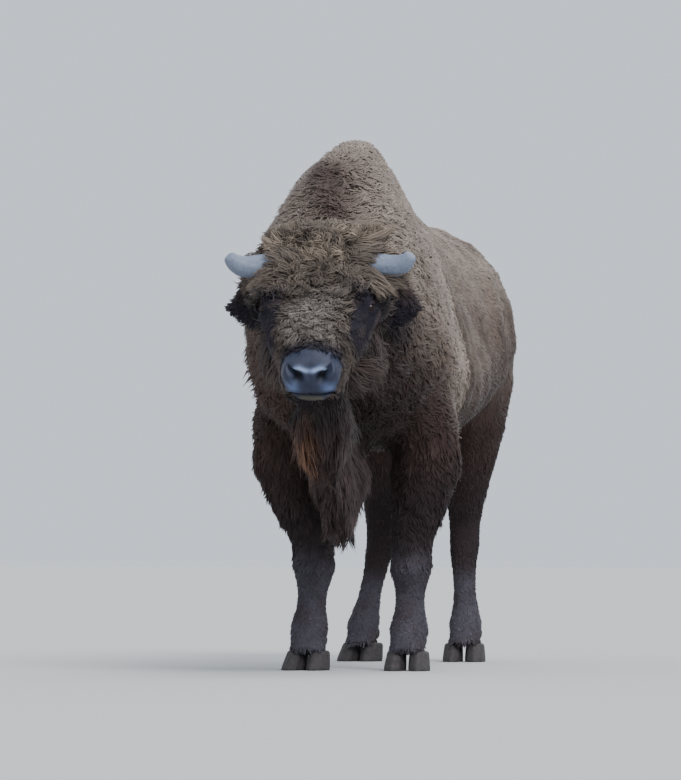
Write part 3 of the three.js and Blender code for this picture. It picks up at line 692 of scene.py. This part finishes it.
# painted shade at the roots and lighter tips, a tint for each tuft, and fine streaks along the hairs
hair_shade = bpy.data.node_groups.new("hair_shade", "ShaderNodeTree")
for label, kind, value in (
    ("Marks", "Color", (0.1, 0.1, 0.1, 1)),
    ("Hair", "Vector", (0, 0, 0)),
    ("Root", "Float", 0.4),
    ("Tip", "Float", 1.4),
    ("Tint", "Float", 0.25),
):
    given = hair_shade.interface.new_socket(label, in_out="INPUT", socket_type="NodeSocket" + kind)
    given.default_value = value
for label, kind in (("Color", "Color"), ("Roughness", "Float")):
    hair_shade.interface.new_socket(label, in_out="OUTPUT", socket_type="NodeSocket" + kind)
given = hair_shade.nodes.new("NodeGroupInput").outputs
along, tint, lateral = wire(hair_shade, "SeparateXYZ", {0: given["Hair"]}).outputs
streak = wire(hair_shade, "CombineXYZ", {
    0: maths(hair_shade, "MULTIPLY", lateral, 2.2),
    1: maths(hair_shade, "MULTIPLY", along, 0.8),
    2: maths(hair_shade, "MULTIPLY", tint, 37.0),
}).outputs[0]
fine = wire(hair_shade, "TexNoise", {"Vector": streak, "Scale": 2.0, "Detail": 1.0}).outputs[0]
# the ramp from root to tip paints shade near the roots
shade = maths(
    hair_shade,
    "MULTIPLY",
    between(hair_shade, along, given["Root"], given["Tip"]),
    maths(hair_shade, "MULTIPLY_ADD", tint, given["Tint"], 1.0),
)
shade = maths(hair_shade, "MULTIPLY", shade, maths(hair_shade, "MULTIPLY_ADD", fine, 0.6, 0.7))
plug(hair_shade, hair_shade.nodes.new("NodeGroupOutput"), {
    "Color": scaled(hair_shade, given["Marks"], shade),
    "Roughness": maths(hair_shade, "MULTIPLY_ADD", fine, 0.25, 0.52),
})


def hair_finish(name, root, tip, tint, sheen):
    """A slot and its material for tufts: darker at the roots as painted shade, light at the tips, soft at
    the edges.
    """
    material, tree, shader = finish(name)
    shade = wire(tree, "Group", {
        "Marks": kept(tree, "marks", "Color"),
        "Hair": kept(tree, "hair", "Vector"),
        "Root": root,
        "Tip": tip,
        "Tint": tint,
    }, node_tree=hair_shade).outputs
    plug(tree, shader, {
        "Base Color": shade["Color"],
        "Roughness": shade["Roughness"],
        "Specular IOR Level": 0.14,
        "Sheen Weight": sheen,
        "Sheen Roughness": 0.45,
    })
    return name, material


# the hide's triangles in an order that keeps neighbours together, and where each lies on its unwrap
hide.data.calc_loop_triangles()
skin_tris = read(hide.data.loop_triangles, "vertices", 3, np.int32)
tri_corners = read(hide.data.loop_triangles, "loops", 3, np.int32)
skin_unwrap = read(hide.data.uv_layers["unwrap"].uv, "vector", 2)[tri_corners]
spread = skin[skin_tris]
tri_area = np.linalg.norm(np.cross(spread[:, 1] - spread[:, 0], spread[:, 2] - spread[:, 0]), axis=1) / 2
cells = ((spread.mean(1) - skin.min(0)) / 0.03).astype(np.int64)
rank = sum(((cells[:, a] >> b) & 1) << (3 * b + a) for a in range(3) for b in range(8))
walk = np.argsort(rank, kind="stable")
x_at, y_at, z_at = skin.T
across, forward, up = on_head(skin)
side = np.abs(across)


def soft(mask, times=5):
    """A mask on the hide with its edge blurred, so that neighbouring coats mingle."""
    mask = np.asarray(mask, float)
    for _ in range(times):
        mask = 0.5 * mask + 0.5 * averaged(mask, edges)
    return mask


def on(*kinds):
    return np.isin(skin_kind, kinds)


# nothing grows on the bare nose, on the eyelids' rims or inside the horns
open_skin = (bare < 0.4) & (from_eyes(skin) > 0.030)
to_horn = np.full(len(skin), 1.0)
for side_name in EYE_SIDES:
    sheath = frame["nodes"][f"{side_name}_horn"]
    low, high = (np.array(c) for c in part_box(f"{side_name}_horn"))
    for i in np.nonzero(((skin > low - 0.06) & (skin < high + 0.06)).all(1))[0]:
        _, spot, outward, _ = sheath.closest_point_on_mesh(Vector(skin[i]))
        to_horn[i] = (Vector(skin[i]) - spot).dot(outward)
        open_skin[i] &= to_horn[i] > 0.001
tidy = np.zeros(len(skin))  # where tufts neither turn nor curl
PATCH = 0.0015  # half the width of a tuft's place on the map
CIRCLE, THIRD = 6.283, 2.0944
SOFTNESS = 0.62
LOCK_WIDTHS = {2: (0.75, 1.0), 3: (0.65, 1.0, 0.75), 4: (0.6, 1.0, 0.95, 0.6)}


def lay(
    name, kind, mask, per_m2, length, width, lift, curl=0.0, turns=0.8, stray=0.3, clump=0.45,
    rings=2, hang=0.0, lock=0.026, gather=0.55,
):
    """Grows tufts from the hide where the mask is, so many to the square metre, along its lie."""
    slot, material = kind
    rng = np.random.default_rng(zlib.crc32(name.encode()))
    share = ((mask * per_m2)[skin_tris].mean(1) * tri_area)[walk]
    total = np.cumsum(share)
    picks = np.arange(int(total[-1])) + rng.random(int(total[-1]))
    tri = walk[np.searchsorted(total, np.minimum(picks, total[-1] * 0.999999))]
    a, b = np.sqrt(rng.random(len(tri))), rng.random(len(tri))
    weights = np.stack([1 - a, a * (1 - b), a * b], 1)[:, :, None]

    def at(values):
        """A value on the hide, or one number for all of it, at each tuft's root."""
        values = np.broadcast_to(values, len(skin)).astype(float) if np.ndim(values) < 2 else values
        return (values.reshape(len(values), -1)[skin_tris[tri]] * weights).sum(1)

    count = len(tri)
    root, out, run, marks = at(skin), at(skin_out), at(lie), at(skin_marks)
    out /= np.linalg.norm(out, axis=1)[:, None]
    run -= out * (run * out).sum(1)[:, None]
    run /= np.linalg.norm(run, axis=1)[:, None] + 1e-9
    side = np.cross(out, run)
    seed = zlib.crc32(slot.encode()) % 1000
    turn = (clump * wander(root, 0.10, seed) + stray * rng.normal(size=count))[:, None] * (1 - at(tidy))
    run, side = run * np.cos(turn) + side * np.sin(turn), side * np.cos(turn) - run * np.sin(turn)
    size = np.exp(0.16 * rng.normal(size=count)) * (1 + 0.14 * wander(root, 0.14, seed + 1))
    long3 = (at(length)[:, 0] * size)[:, None, None]
    wide = at(width)[:, 0] * np.sqrt(size)
    rise3 = np.clip(at(lift)[:, 0] * (1 + 0.25 * rng.normal(size=count)), 0.05, 1.4)[:, None, None]
    t = (np.arange(rings + 1) / rings)[None, :, None]
    out3, run3, side3 = out[:, None], run[:, None], side[:, None]
    slope = run3 * np.cos(rise3) + out3 * np.sin(rise3) * (1 - 0.3 * t)
    path = root[:, None] - out3 * np.minimum(0.003, 0.10 * long3) + long3 * t * slope
    start = rng.uniform(0, CIRCLE, count)[:, None, None]
    bend = start + CIRCLE * turns * t
    curled = curl * (1 - at(tidy))[:, :, None] * long3
    sway, bob = np.sin(bend) - np.sin(start), np.cos(bend) - np.cos(start)
    path = path + curled * t * (side3 * sway + out3 * 0.6 * bob)
    path = path + long3 * hang * t**2 * np.array([0, 0, -1.0])
    # tufts are drawn together into locks, each round one leading tuft
    leads = rng.permutation(count)[: max(1, int(total[-1] / per_m2 / lock**2))]
    finder = KDTree(len(leads))
    for i, spot in enumerate(root[leads]):
        finder.insert(spot, i)
    finder.balance()
    found = [finder.find(spot)[1:] for spot in root]
    lead, apart = leads[[f[0] for f in found]], np.array([f[1] for f in found])
    held = gather * fade(apart, lock, 1.6 * lock)[:, None, None]
    path = path + held * t**1.3 * (path[lead] - path)
    # painted shade: tufts darker the farther they stand from their lock's middle, so the gaps between locks
    # read deeper
    marks = marks * (1.08 - 0.30 * np.clip(apart / lock, 0, 1))[:, None]
    way = np.gradient(path, axis=1)
    way /= np.linalg.norm(way, axis=2)[:, :, None] + 1e-9
    flank = np.cross(way, out3)
    flank /= np.linalg.norm(flank, axis=2)[:, :, None] + 1e-9
    top = np.cross(flank, way)
    half = np.array(LOCK_WIDTHS[rings])[None, :, None, None] * wide[:, None, None, None] / 2
    beside = np.array([-1.0, 1.0, 0.0])[None, None, :, None]
    above = np.array([-0.3, -0.3, 0.6])[None, None, :, None]
    ring = path[:, :-1, None] + half * (flank[:, :-1, None] * beside + top[:, :-1, None] * above)
    made = np.concatenate([ring.reshape(count, rings * 3, 3), path[:, -1:]], 1)

    tip = rings * 3
    faces = [(0, 1, 2)]
    for k in range(rings):
        for j in range(3):
            p, q = k * 3 + j, k * 3 + (j + 1) % 3
            faces += [(p, p + 3, q + 3), (p, q + 3, q)] if k < rings - 1 else [(p, tip, q)]
    faces = (np.array(faces)[None] + (np.arange(count) * (tip + 1))[:, None, None]).reshape(-1, 3)

    mesh = bpy.data.meshes.new(name)
    mesh.vertices.add(count * (tip + 1))
    mesh.vertices.foreach_set("co", made.astype(np.float32).ravel())
    mesh.loops.add(faces.size)
    mesh.loops.foreach_set("vertex_index", faces.astype(np.int32).ravel())
    mesh.polygons.add(len(faces))
    mesh.polygons.foreach_set("loop_start", np.arange(0, faces.size, 3, dtype=np.int32))
    mesh.update(calc_edges=True)
    mesh.polygons.foreach_set("use_smooth", np.ones(len(faces), bool))
    # light falls on the tufts almost as on the coat as a whole, which keeps it soft
    facing = read(mesh.vertices, "normal", 3) * (1 - SOFTNESS) + np.repeat(out, tip + 1, 0) * SOFTNESS
    mesh.normals_split_custom_set_from_vertices(facing / np.linalg.norm(facing, axis=1)[:, None])
    corner_values(mesh, "marks", "FLOAT_COLOR", np.repeat(marks, tip + 1, 0))
    along = np.append(np.repeat(np.arange(rings) / rings, 3), 1.0)
    lateral = np.append(np.tile([-1.0, 1.0, 0.0], rings), 0.0)
    own = rng.normal(size=count)
    tint = np.clip(0.45 * own + 0.50 * own[lead] + 0.30 * wander(root, 0.05, seed + 2), -1.6, 1.6)
    hair = np.stack(np.broadcast_arrays(along[None], tint[:, None], lateral[None]), 2).reshape(-1, 3)
    corner_values(mesh, "hair", "FLOAT_VECTOR", hair)
    # each tuft has its own small patch, at its root's place on the unwrap of the hide
    angle = np.append(np.tile(np.arange(3) * THIRD, rings), 0.0)
    patch = PATCH * (1 - along)[:, None] * np.stack([np.cos(angle), np.sin(angle)], 1)
    home = (skin_unwrap[tri] * weights).sum(1)
    uv = (home[:, None] + patch[None]).reshape(-1, 2)[faces.ravel()]
    mesh.uv_layers.new(name="OFBake").uv.foreach_set("vector", uv.astype(np.float32).ravel())
    mesh.materials.append(material)
    coat = bpy.data.objects.new(name, mesh)
    bpy.context.scene.collection.objects.link(coat)
    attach(coat, "root")


wool = hair_finish("woolly_coat", 0.55, 0.95, 0.12, 0.10)
wool_end = fade(y_at - mantle_end(skin) + 0.02 * wander(skin, 0.12, 21), -0.10, 0.09)
wool_mask = soft(on("shoulders", "neck", "barrel") & open_skin)
wool_length = 0.036 + 0.012 * ease(-y_at, 0.30, 0.75) - 0.006 * ease(z_at, 1.5, 1.75)
chest_side = near(z_at, 0.96, 0.20) * ease(-x_at, 0.12, 0.19) * ease(-y_at, 0.45, 0.60)
wool_length = wool_length * (0.62 + 0.38 * wool_end) + 0.026 * chest_side
wool_mask = wool_mask * ease(wool_end, 0.0, 0.25)
for part, keep in (
    ("left_shoulder", soft(on("shoulders", "barrel") & (x_at > 0.01), 3)),
    ("right_shoulder", soft(on("shoulders", "barrel") & (x_at <= 0.01), 3)),
    ("neck", soft(on("neck"), 3)),
):
    lay(
        f"{part}_wool", wool, wool_mask * keep, 18200, wool_length, 0.0066, 0.46 + 0.34 * chest_side,
        curl=0.22, stray=0.75, clump=0.7, lock=0.021, gather=0.6,
    )

# -------------------- coat of flanks, belly and rump
# Close, smooth hair that lies flat behind the wool, drawn back along the ribs and down the thighs.

short_hair = hair_finish("body_coat", 0.56, 0.94, 0.15, 0.08)
short_mask = soft(on("barrel", "rump", "shoulders") & open_skin) * fade(wool_end, 0.4, 0.9)
for part, keep in (("left", soft(x_at > -0.01, 3)), ("right", soft(x_at <= -0.01, 3))):
    lay(
        f"{part}_flank_coat", short_hair, short_mask * keep, 8700, 0.027 + 0.010 * wool_end, 0.0054, 0.34,
        stray=0.22, clump=0.35, lock=0.030, gather=0.35,
    )

# -------------------- legs
# Long, shaggy hair down to the knees in front; close hair below them and on the hind legs.

leg_hair = hair_finish("leg_coat", 0.54, 1.14, 0.20, 0.05)
shaggy = 0.026 + 0.020 * ease(z_at, 0.36, 0.56)
lay(
    "foreleg_wool", leg_hair, soft(on("foreleg_upper")), 15500, shaggy, 0.0060, 0.32,
    curl=0.12, stray=0.35,
)
by_hoof = fade(z_at, 0.075, 0.11)
lay(
    "foreleg_coat", leg_hair, soft(on("foreleg_lower")) * (1 + by_hoof), 21000,
    0.014 + 0.012 * by_hoof, 0.0036, 0.40, stray=0.22, lock=0.012, gather=0.35,
)
hind_length = 0.016 + 0.010 * ease(z_at, 0.4, 0.7) + 0.012 * by_hoof
lay(
    "hindleg_coat", leg_hair, soft(on("hindleg_upper", "hindleg_lower")) * (1 + by_hoof), 12500,
    hind_length, 0.0048, 0.38, stray=0.25, lock=0.018, gather=0.4,
)

# -------------------- head
# A springy mop between the horns, a thick brush down the bridge of the nose, short black hair round
# the eyes and long hair on cheeks and jaw. Nose and lips are bare.

head_hair = hair_finish("head_coat", 0.40, 1.06, 0.23, 0.08)
to_eye = from_eyes(skin)
eye_patch = ease(side, 0.098, 0.118) * ease(forward, 0.085, 0.120)
eye_patch *= fade(forward, 0.300, 0.345) * ease(up, -0.145, -0.095)
mop = soft(is_head & (up > -0.10) & (forward < 0.20) & open_skin & (to_eye > 0.055), 3)
mop = mop * fade(forward, 0.13, 0.18)
at_horn = fade(to_horn, 0.015, 0.050) * (side > 0.07)
outward = from_head(np.sign(across), 0.05, 0.12)
tidy = 0.75 * at_horn
MOP_LIFT = 0.80
mop_lift = MOP_LIFT + at_horn * (np.arcsin(np.clip((skin_out * outward).sum(1), 0.30, 0.97)) - MOP_LIFT)
lie = lie * (1 - at_horn[:, None]) + outward * at_horn[:, None]
mop_length = 0.052 + 0.012 * ease(side, 0.05, 0.10) + 0.046 * at_horn
lay(
    "forehead_mop", head_hair, mop * (1 + 0.5 * at_horn), 54000, mop_length, 0.0046, mop_lift,
    curl=0.30, turns=1.0, stray=0.45, clump=2.6, rings=3, hang=0.10, lock=0.024, gather=0.72,
)
bridge_mask = soft(is_head & open_skin & (to_eye > 0.05), 3) * ease(forward, 0.11, 0.17)
bridge_mask = bridge_mask * ease(up, -0.10, -0.04) * fade(side, 0.100, 0.120)
lay(
    "nose_bridge_brush", head_hair, bridge_mask, 52000, 0.040 - 0.018 * ease(forward, 0.33, 0.40),
    0.0039, 0.55, curl=0.18, stray=0.55, rings=3, lock=0.018, gather=0.6,
)
jaw_side = soft((is_head | on("jaw", "beard")) & open_skin, 3)
jaw_side = jaw_side * ease(side, 0.045, 0.075) * fade(up, -0.14, -0.10)
jaw_side = jaw_side * ease(forward, 0.10, 0.18) * fade(forward, 0.33, 0.38)
cheek_mask = soft((is_head | on("jaw", "beard")) & (forward > -0.16) & open_skin, 3)
cheek_mask = cheek_mask * (1 - np.clip(mop + bridge_mask, 0, 1))
cheek_length = 0.042 - 0.018 * ease(forward, 0.32, 0.42)
cheek_length += 0.010 * fade(up, -0.24, -0.13) * ease(forward, 0.2, 0.4)
cheek_length = cheek_length + (0.017 - cheek_length) * np.clip(eye_patch * 1.3, 0, 1)
cheek_length = cheek_length * (0.45 + 0.55 * ease(to_eye, 0.05, 0.10))
under_lip = ease(forward, 0.38, 0.42) * fade(up, -0.11, -0.09) * ease(up, -0.20, -0.16)
cheek_length = cheek_length * (1 - 0.35 * under_lip)
cheek_mask = cheek_mask * (1 - 0.45 * jaw_side) * (1 + 0.9 * eye_patch) * (1 + 0.8 * under_lip)
lay(
    "cheek_coat", head_hair, cheek_mask, 21000, cheek_length, 0.0042, 0.42 + 0.30 * under_lip,
    curl=0.10, rings=3, lock=0.020,
)
ear_length = 0.044 - 0.018 * ease(side, 0.245, 0.285)
lay(
    "ear_hair", head_hair, soft(on("ear"), 3), 38000, ear_length, 0.0042, 0.75,
    curl=0.16, rings=3, hang=0.04, lock=0.018,
)

# -------------------- mane, tail and sheath hair
# Long hanging locks under chin and throat, on the end of the tail and on the sheath.

long_hair = hair_finish("long_hair", 0.50, 1.15, 0.18, 0.04)
outward = from_head(np.sign(across) * 0.78, -0.15, -0.62)
lie = lie * (1 - jaw_side[:, None]) + outward * jaw_side[:, None]
lay(
    "jaw_locks", long_hair, jaw_side, 19000, 0.105, 0.0048, 0.60,
    curl=0.10, rings=3, hang=0.32, stray=0.22, clump=0.4, lock=0.024, gather=0.6,
)
mane_length = np.clip(z_at - 0.425, 0.020, 0.100)
under_chin = ease(forward, 0.10, 0.26) * ease(z_at, 0.80, 0.92)
mane_length = mane_length * (1 - 0.45 * under_chin)
lay(
    "throat_mane_locks", long_hair, soft(on("throat_mane", "beard")), 15000, mane_length, 0.0052,
    0.15 + 0.25 * under_chin,
    curl=0.08, rings=4, hang=0.12, stray=0.20, clump=0.30, lock=0.030, gather=0.6,
)
lay(
    "sheath_locks", long_hair, soft(on("sheath_tuft")), 16000, 0.060, 0.0055, 0.22,
    rings=3, hang=0.15, stray=0.2,
)
lay("tail_coat", short_hair, soft(on("tail_dock")), 12000, 0.022, 0.0048, 0.3, stray=0.15)
lay(
    "tail_tuft_locks", long_hair, soft(on("tail_tuft")), 16000, 0.10, 0.0060, 0.18,
    rings=4, hang=0.1, stray=0.14,
)

# -------------------- eyes
# Wet, dark brown balls, set deep behind the lids.

def blended(tree, mask, first, second):
    """One colour turned into another by a mask."""
    return wire(tree, "Mix", {0: mask, 6: first, 7: second}, data_type="RGBA").outputs[2]


IRIS_RADIUS, CORNEA_RISE = 0.0135, 0.0014
PUPIL_HALF_LENGTH, PUPIL_HALF_HEIGHT = 0.0085, 0.0042
eye_finish, tree, shader = finish("eye")
colour = blended(tree, kept(tree, "iris", "Fac"), (0.014, 0.011, 0.010, 1), (0.012, 0.006, 0.004, 1))
plug(tree, shader, {
    "Base Color": blended(tree, kept(tree, "pupil", "Fac"), colour, (0.002, 0.002, 0.003, 1)),
    "Roughness": 0.05,
    "Specular IOR Level": 0.22,
})
for side_name, centre in eye_centres.items():
    bpy.ops.object.select_all(action="DESELECT")
    bpy.ops.mesh.primitive_uv_sphere_add(
        segments=64, ring_count=40, radius=EYE_RADIUS, location=centre
    )
    eye = bpy.context.object
    eye.name = eye.data.name = f"{side_name}_eyeball"
    bpy.ops.object.transform_apply(location=True, rotation=True, scale=True)
    bpy.ops.object.shade_smooth()
    look, along, over = eye_ways[side_name]
    points = read(eye.data.vertices, "co", 3)
    away = points - centre
    u, v, facing = away @ along, away @ over, away @ look > 0
    r = np.hypot(u, v)
    # the cornea stands a little proud of the ball, and the back of the ball is drawn in
    points = points + look * (CORNEA_RISE * facing * fade(r, 0.006, 0.0145))[:, None]
    points = points - look * (0.3 * (away @ look) * ~facing)[:, None]
    move_to(eye.data, points)
    corner_values(eye.data, "iris", "FLOAT", facing * fade(r, IRIS_RADIUS, 0.0150))
    oval = np.hypot(u / PUPIL_HALF_LENGTH, v / PUPIL_HALF_HEIGHT)
    corner_values(eye.data, "pupil", "FLOAT", facing * fade(oval, 0.85, 1.05))
    eye.data.materials.append(eye_finish)
    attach(eye, "root")
    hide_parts(f"{side_name}_eye")

# -------------------- horns and claws
# Rough, pale grey horn over bony cores, and dull dark horn on the cloven hooves.

horn_finish, tree, shader = finish("horn")
place = wire(tree, "TexCoord", {}).outputs["Object"]
grain = {"Vector": place, "Scale": 75.0, "Detail": 5.0, "Roughness": 0.65}
mottle = wire(tree, "TexNoise", grain).outputs[0]
plug(tree, shader, {
    "Base Color": blended(tree, mottle, (0.085, 0.100, 0.135, 1), (0.210, 0.250, 0.335, 1)),
    "Roughness": 0.55,
    "Normal": bumped(tree, mottle, 0.6, 0.004),
})

claw_finish, tree, shader = finish("hoof_horn")
place = wire(tree, "TexCoord", {}).outputs["Object"]
mottle = wire(tree, "TexNoise", {"Vector": place, "Scale": 80.0, "Detail": 3.0}).outputs[0]
growth = {"Vector": place, "Scale": 45.0, "Distortion": 1.5}
rings = wire(tree, "TexWave", growth, bands_direction="Z").outputs["Fac"]
plug(tree, shader, {
    "Base Color": blended(tree, mottle, (0.014, 0.012, 0.012, 1), (0.060, 0.053, 0.054, 1)),
    "Roughness": 0.7,
    "Specular IOR Level": 0.3,
    "Normal": bumped(tree, rings, 0.35, 0.0015),
})
SOLE = 0.004  # height below which a claw is pressed flat on the ground


def refined(node, name, grain, rounds, swell, material):
    """A finer, rounder copy of one solid, which stands for it."""
    bpy.ops.object.select_all(action="DESELECT")
    piece = loose_copy(node)
    one_skin(piece, name, grain)
    points = read(piece.data.vertices, "co", 3)
    own_edges = read(piece.data.edges, "vertices", 2, np.int32)
    points = evened(points, own_edges, rounds)
    for _ in range(rounds // 2):
        points = 0.5 * points + 0.5 * averaged(points, own_edges)
    move_to(piece.data, points)
    points = points + read(piece.data.vertices, "normal", 3) * swell
    if "claw" in node and "dew" not in node:
        points[:, 2] = np.where(points[:, 2] < SOLE, 0.0, points[:, 2])
    move_to(piece.data, points)
    bpy.ops.object.shade_smooth()
    piece.data.materials.append(material)
    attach(piece, "root")
    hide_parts(node)


for node in [f"{side_name}_horn" for side_name in EYE_SIDES]:
    refined(node, f"{node}_sheath", 0.004, 12, 0.003, horn_finish)
for node in [n for n in frame["nodes"] if "claw" in n]:
    refined(node, f"{node}_horn", 0.0032, 14, 0.005, claw_finish)

# -------------------- stage
# Plain pale floor and backdrop, soft studio light, and the camera.

floor_finish, tree, shader = finish("pale_floor")
plug(tree, shader, {"Base Color": (0.435, 0.435, 0.435, 1), "Roughness": 0.9})
bpy.ops.object.select_all(action="DESELECT")
bpy.ops.mesh.primitive_plane_add(size=80, location=(0, 0, 0))
floor = bpy.context.object
floor.name = floor.data.name = "floor"
floor.data.materials.append(floor_finish)

world = bpy.context.scene.world or bpy.data.worlds.new("studio")
bpy.context.scene.world = world
world.use_nodes = True
sky = world.node_tree.nodes["Background"]
plug(world.node_tree, sky, {"Color": (0.84, 0.90, 1.0, 1), "Strength": 1.0})
for name, place, spread, power, colour in (
    ("key", (6.0, -6.5, 8.0), 24, 2.8, (0.97, 0.98, 1.0)),
    ("fill", (-7.0, -5.5, 4.5), 50, 0.2, (0.90, 0.94, 1.0)),
    ("top", (1.5, 0.5, 7.5), 40, 1.3, (0.92, 0.96, 1.0)),
    ("back", (2.0, 7.5, 5.0), 40, 0.6, (1.0, 0.97, 0.93)),
):
    lamp = bpy.data.lights.new(name, "SUN")
    lamp.angle, lamp.energy, lamp.color = math.radians(spread), power, colour
    holder = bpy.data.objects.new(name, lamp)
    holder.location = place
    holder.rotation_euler = Vector(place).to_track_quat("Z", "Y").to_euler()
    bpy.context.scene.collection.objects.link(holder)

BEARING, RISE, DISTANCE = math.radians(14.0), math.radians(1.24), 20.0
SLIDE, EYE_LEVEL = 0.066, 0.52
FOCUS_X, FOCUS_Y = 0.01465, -0.32494
SENSOR, NARROWNESS = 36, 5880 / 780  # focal length over the longer side of the frame
optics = bpy.data.cameras.new("camera")
optics.sensor_width = SENSOR
optics.lens = SENSOR * NARROWNESS
optics.clip_end = 200
camera = bpy.data.objects.new("camera", optics)
camera.location = (
    DISTANCE * math.sin(BEARING) - SLIDE * math.cos(BEARING) + FOCUS_X,
    -DISTANCE * math.cos(BEARING) - SLIDE * math.sin(BEARING) + FOCUS_Y,
    EYE_LEVEL,
)
camera.rotation_euler = (math.pi / 2 + RISE, 0, BEARING)
bpy.context.scene.collection.objects.link(camera)
bpy.context.scene.camera = camera
